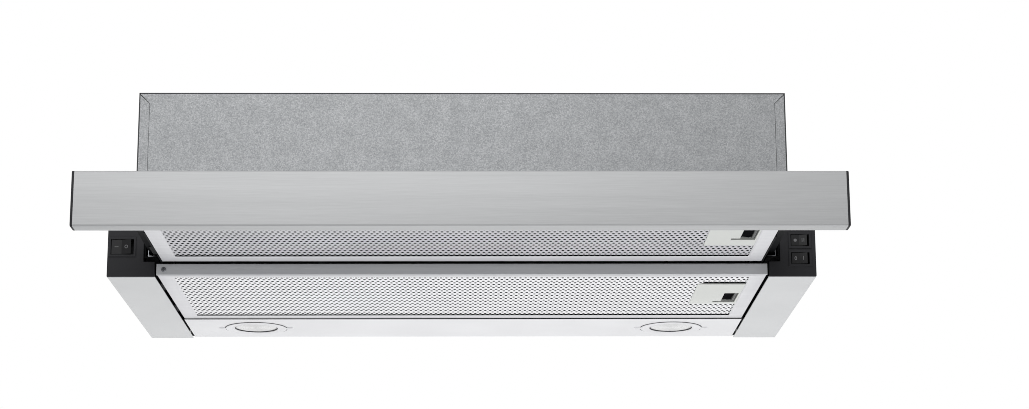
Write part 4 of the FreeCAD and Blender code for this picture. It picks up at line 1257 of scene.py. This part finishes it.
@dataclass
class Studio:
    """Pale floor, white surround, soft lights and the camera, in metres."""

    camera_at: Point = (0.00988, -2.01466, -0.57665)
    tilt: float = 14.151
    pan: float = 1.049
    roll: float = -0.272
    lens: float = 79.203
    floor_z: float = -2.6

    def build(self) -> None:
        """Set up the surround, the floor, the lights and the camera."""
        self.surround()
        self.floor()
        self.soft_box("key", (-0.16, -1.15, 0.32), (-0.08, -0.25, -0.1), (0.85, 0.75), 5.2)
        self.soft_box("under fill", (0.12, 0.12, -1.0), (0, -0.02, -0.16), (1.3, 0.6), 4.6)
        self.camera()

    def surround(self) -> None:
        """White surround behind the hood that dims to a grey room in front of it.

        The strength depends on the direction's Y alone, from 0.5 in front to 1 behind.
        """
        scene = bpy.context.scene
        scene.view_settings.view_transform = "Standard"
        scene.view_settings.look = "None"
        scene.cycles.filter_width = 0.9
        world = bpy.data.worlds.new("white studio")
        world.use_nodes = True
        nodes, links = world.node_tree.nodes, world.node_tree.links
        kinds = "TexCoord", "SeparateXYZ", "MapRange"
        way, axes, level = (nodes.new(f"ShaderNode{kind}") for kind in kinds)
        links.new(way.outputs["Generated"], axes.inputs["Vector"])
        links.new(axes.outputs["Y"], level.inputs["Value"])
        for name, value in zip(("From Min", "From Max", "To Min", "To Max"), (-0.2, 0.3, 0.5, 1.0)):
            level.inputs[name].default_value = value
        back = nodes["Background"]
        back.inputs["Color"].default_value = (1, 1, 1, 1)
        links.new(level.outputs["Result"], back.inputs["Strength"])
        scene.world = world

    def floor(self) -> None:
        """Plain pale floor far below the hood."""
        half = 4000.0
        z = self.floor_z / MM
        points = np.array([(-half, -half, z), (half, -half, z), (half, half, z), (-half, half, z)])
        floor = make_piece("floor", points, [(0, 1, 2, 3)], Finishes.POWDER, smooth=False)

    def soft_box(self, name: str, at: Point, towards: Point, size: tuple[float, float], power: float) -> None:
        """Add a rectangular area light.

        Args:
            name: Name of the light.
            at: Its centre.
            towards: Point that it faces.
            size: Its width and height.
            power: Its power in watts.
        """
        light = bpy.data.lights.new(name, "AREA")
        light.shape, light.size, light.size_y, light.energy = "RECTANGLE", size[0], size[1], power
        lamp = bpy.data.objects.new(name, light)
        lamp.location = at
        lamp.rotation_euler = (Vector(towards) - Vector(at)).to_track_quat("-Z", "Y").to_euler()
        bpy.context.scene.collection.objects.link(lamp)

    def camera(self) -> None:
        """Place the camera from its tilt above the horizon, pan to the right and roll."""
        tilt, pan, roll = (math.radians(angle) for angle in (self.tilt, self.pan, self.roll))
        ahead = Vector((math.sin(pan) * math.cos(tilt), math.cos(pan) * math.cos(tilt), math.sin(tilt)))
        right = Vector((math.cos(pan), -math.sin(pan), 0))
        up = right.cross(ahead)
        turned_right = math.cos(roll) * right + math.sin(roll) * up
        turned_up = -math.sin(roll) * right + math.cos(roll) * up
        data = bpy.data.cameras.new("camera")
        data.lens, data.sensor_width, data.sensor_fit = self.lens, 36.0, "HORIZONTAL"
        data.clip_start, data.clip_end = 0.05, 50
        camera = bpy.data.objects.new("camera", data)
        rotation = Matrix((turned_right, turned_up, -ahead)).transposed().to_4x4()
        camera.matrix_world = Matrix.Translation(self.camera_at) @ rotation
        bpy.context.scene.collection.objects.link(camera)
        bpy.context.scene.camera = camera


def out_of_screw(middle: np.ndarray) -> Point:
    """Direction that a housing screw's head faces: sideways on the sides, forwards on the rail."""
    return (0.0, -1.0, 0.0) if abs(middle[0]) < 270 else (math.copysign(1.0, middle[0]), 0.0, 0.0)


def out_of_slide_screw(middle: np.ndarray) -> Point:
    """Direction that a slide screw's head faces: inwards."""
    return -math.copysign(1.0, middle[0]), 0.0, 0.0


def main() -> None:
    """Build the studio and every sub-assembly in order."""
    logging.basicConfig(level=logging.INFO, format="%(message)s")
    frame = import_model()
    Studio().build()
    slots = {part["node"]: part["material_slot"] for part in frame["record"]["subparts"]}
    CarriedNodes(frame["nodes"], slots).dress()
    HousingEdges().build()
    Fascia().build()
    GreaseFilter("rear", Finishes.ROLLED, Finishes.PERFORATED).build()
    GreaseFilter("front", Finishes.ROLLED_FRONT, Finishes.PERFORATED_FRONT).build()
    for side in Side:
        Lamp(side).build()
    Rocker("light", Mark.DASH, Mark.RING).build()
    Rocker("fan", Mark.SQUARE, Mark.TWO).build()
    Rocker("speed", Mark.ZERO, Mark.ONE).build()
    Screws("housing_screws", "hood", "screw_steel", out_of_screw).build()
    Screws("slide_screws", "slide", "screw_steel", out_of_slide_screw).build()
    Collar().build()
    LatchGrips().build()
    for word in ("rear", "front"):
        LeafSpring(word).build()
    PanelSeal().build()


if __name__ == "__main__":
    main()
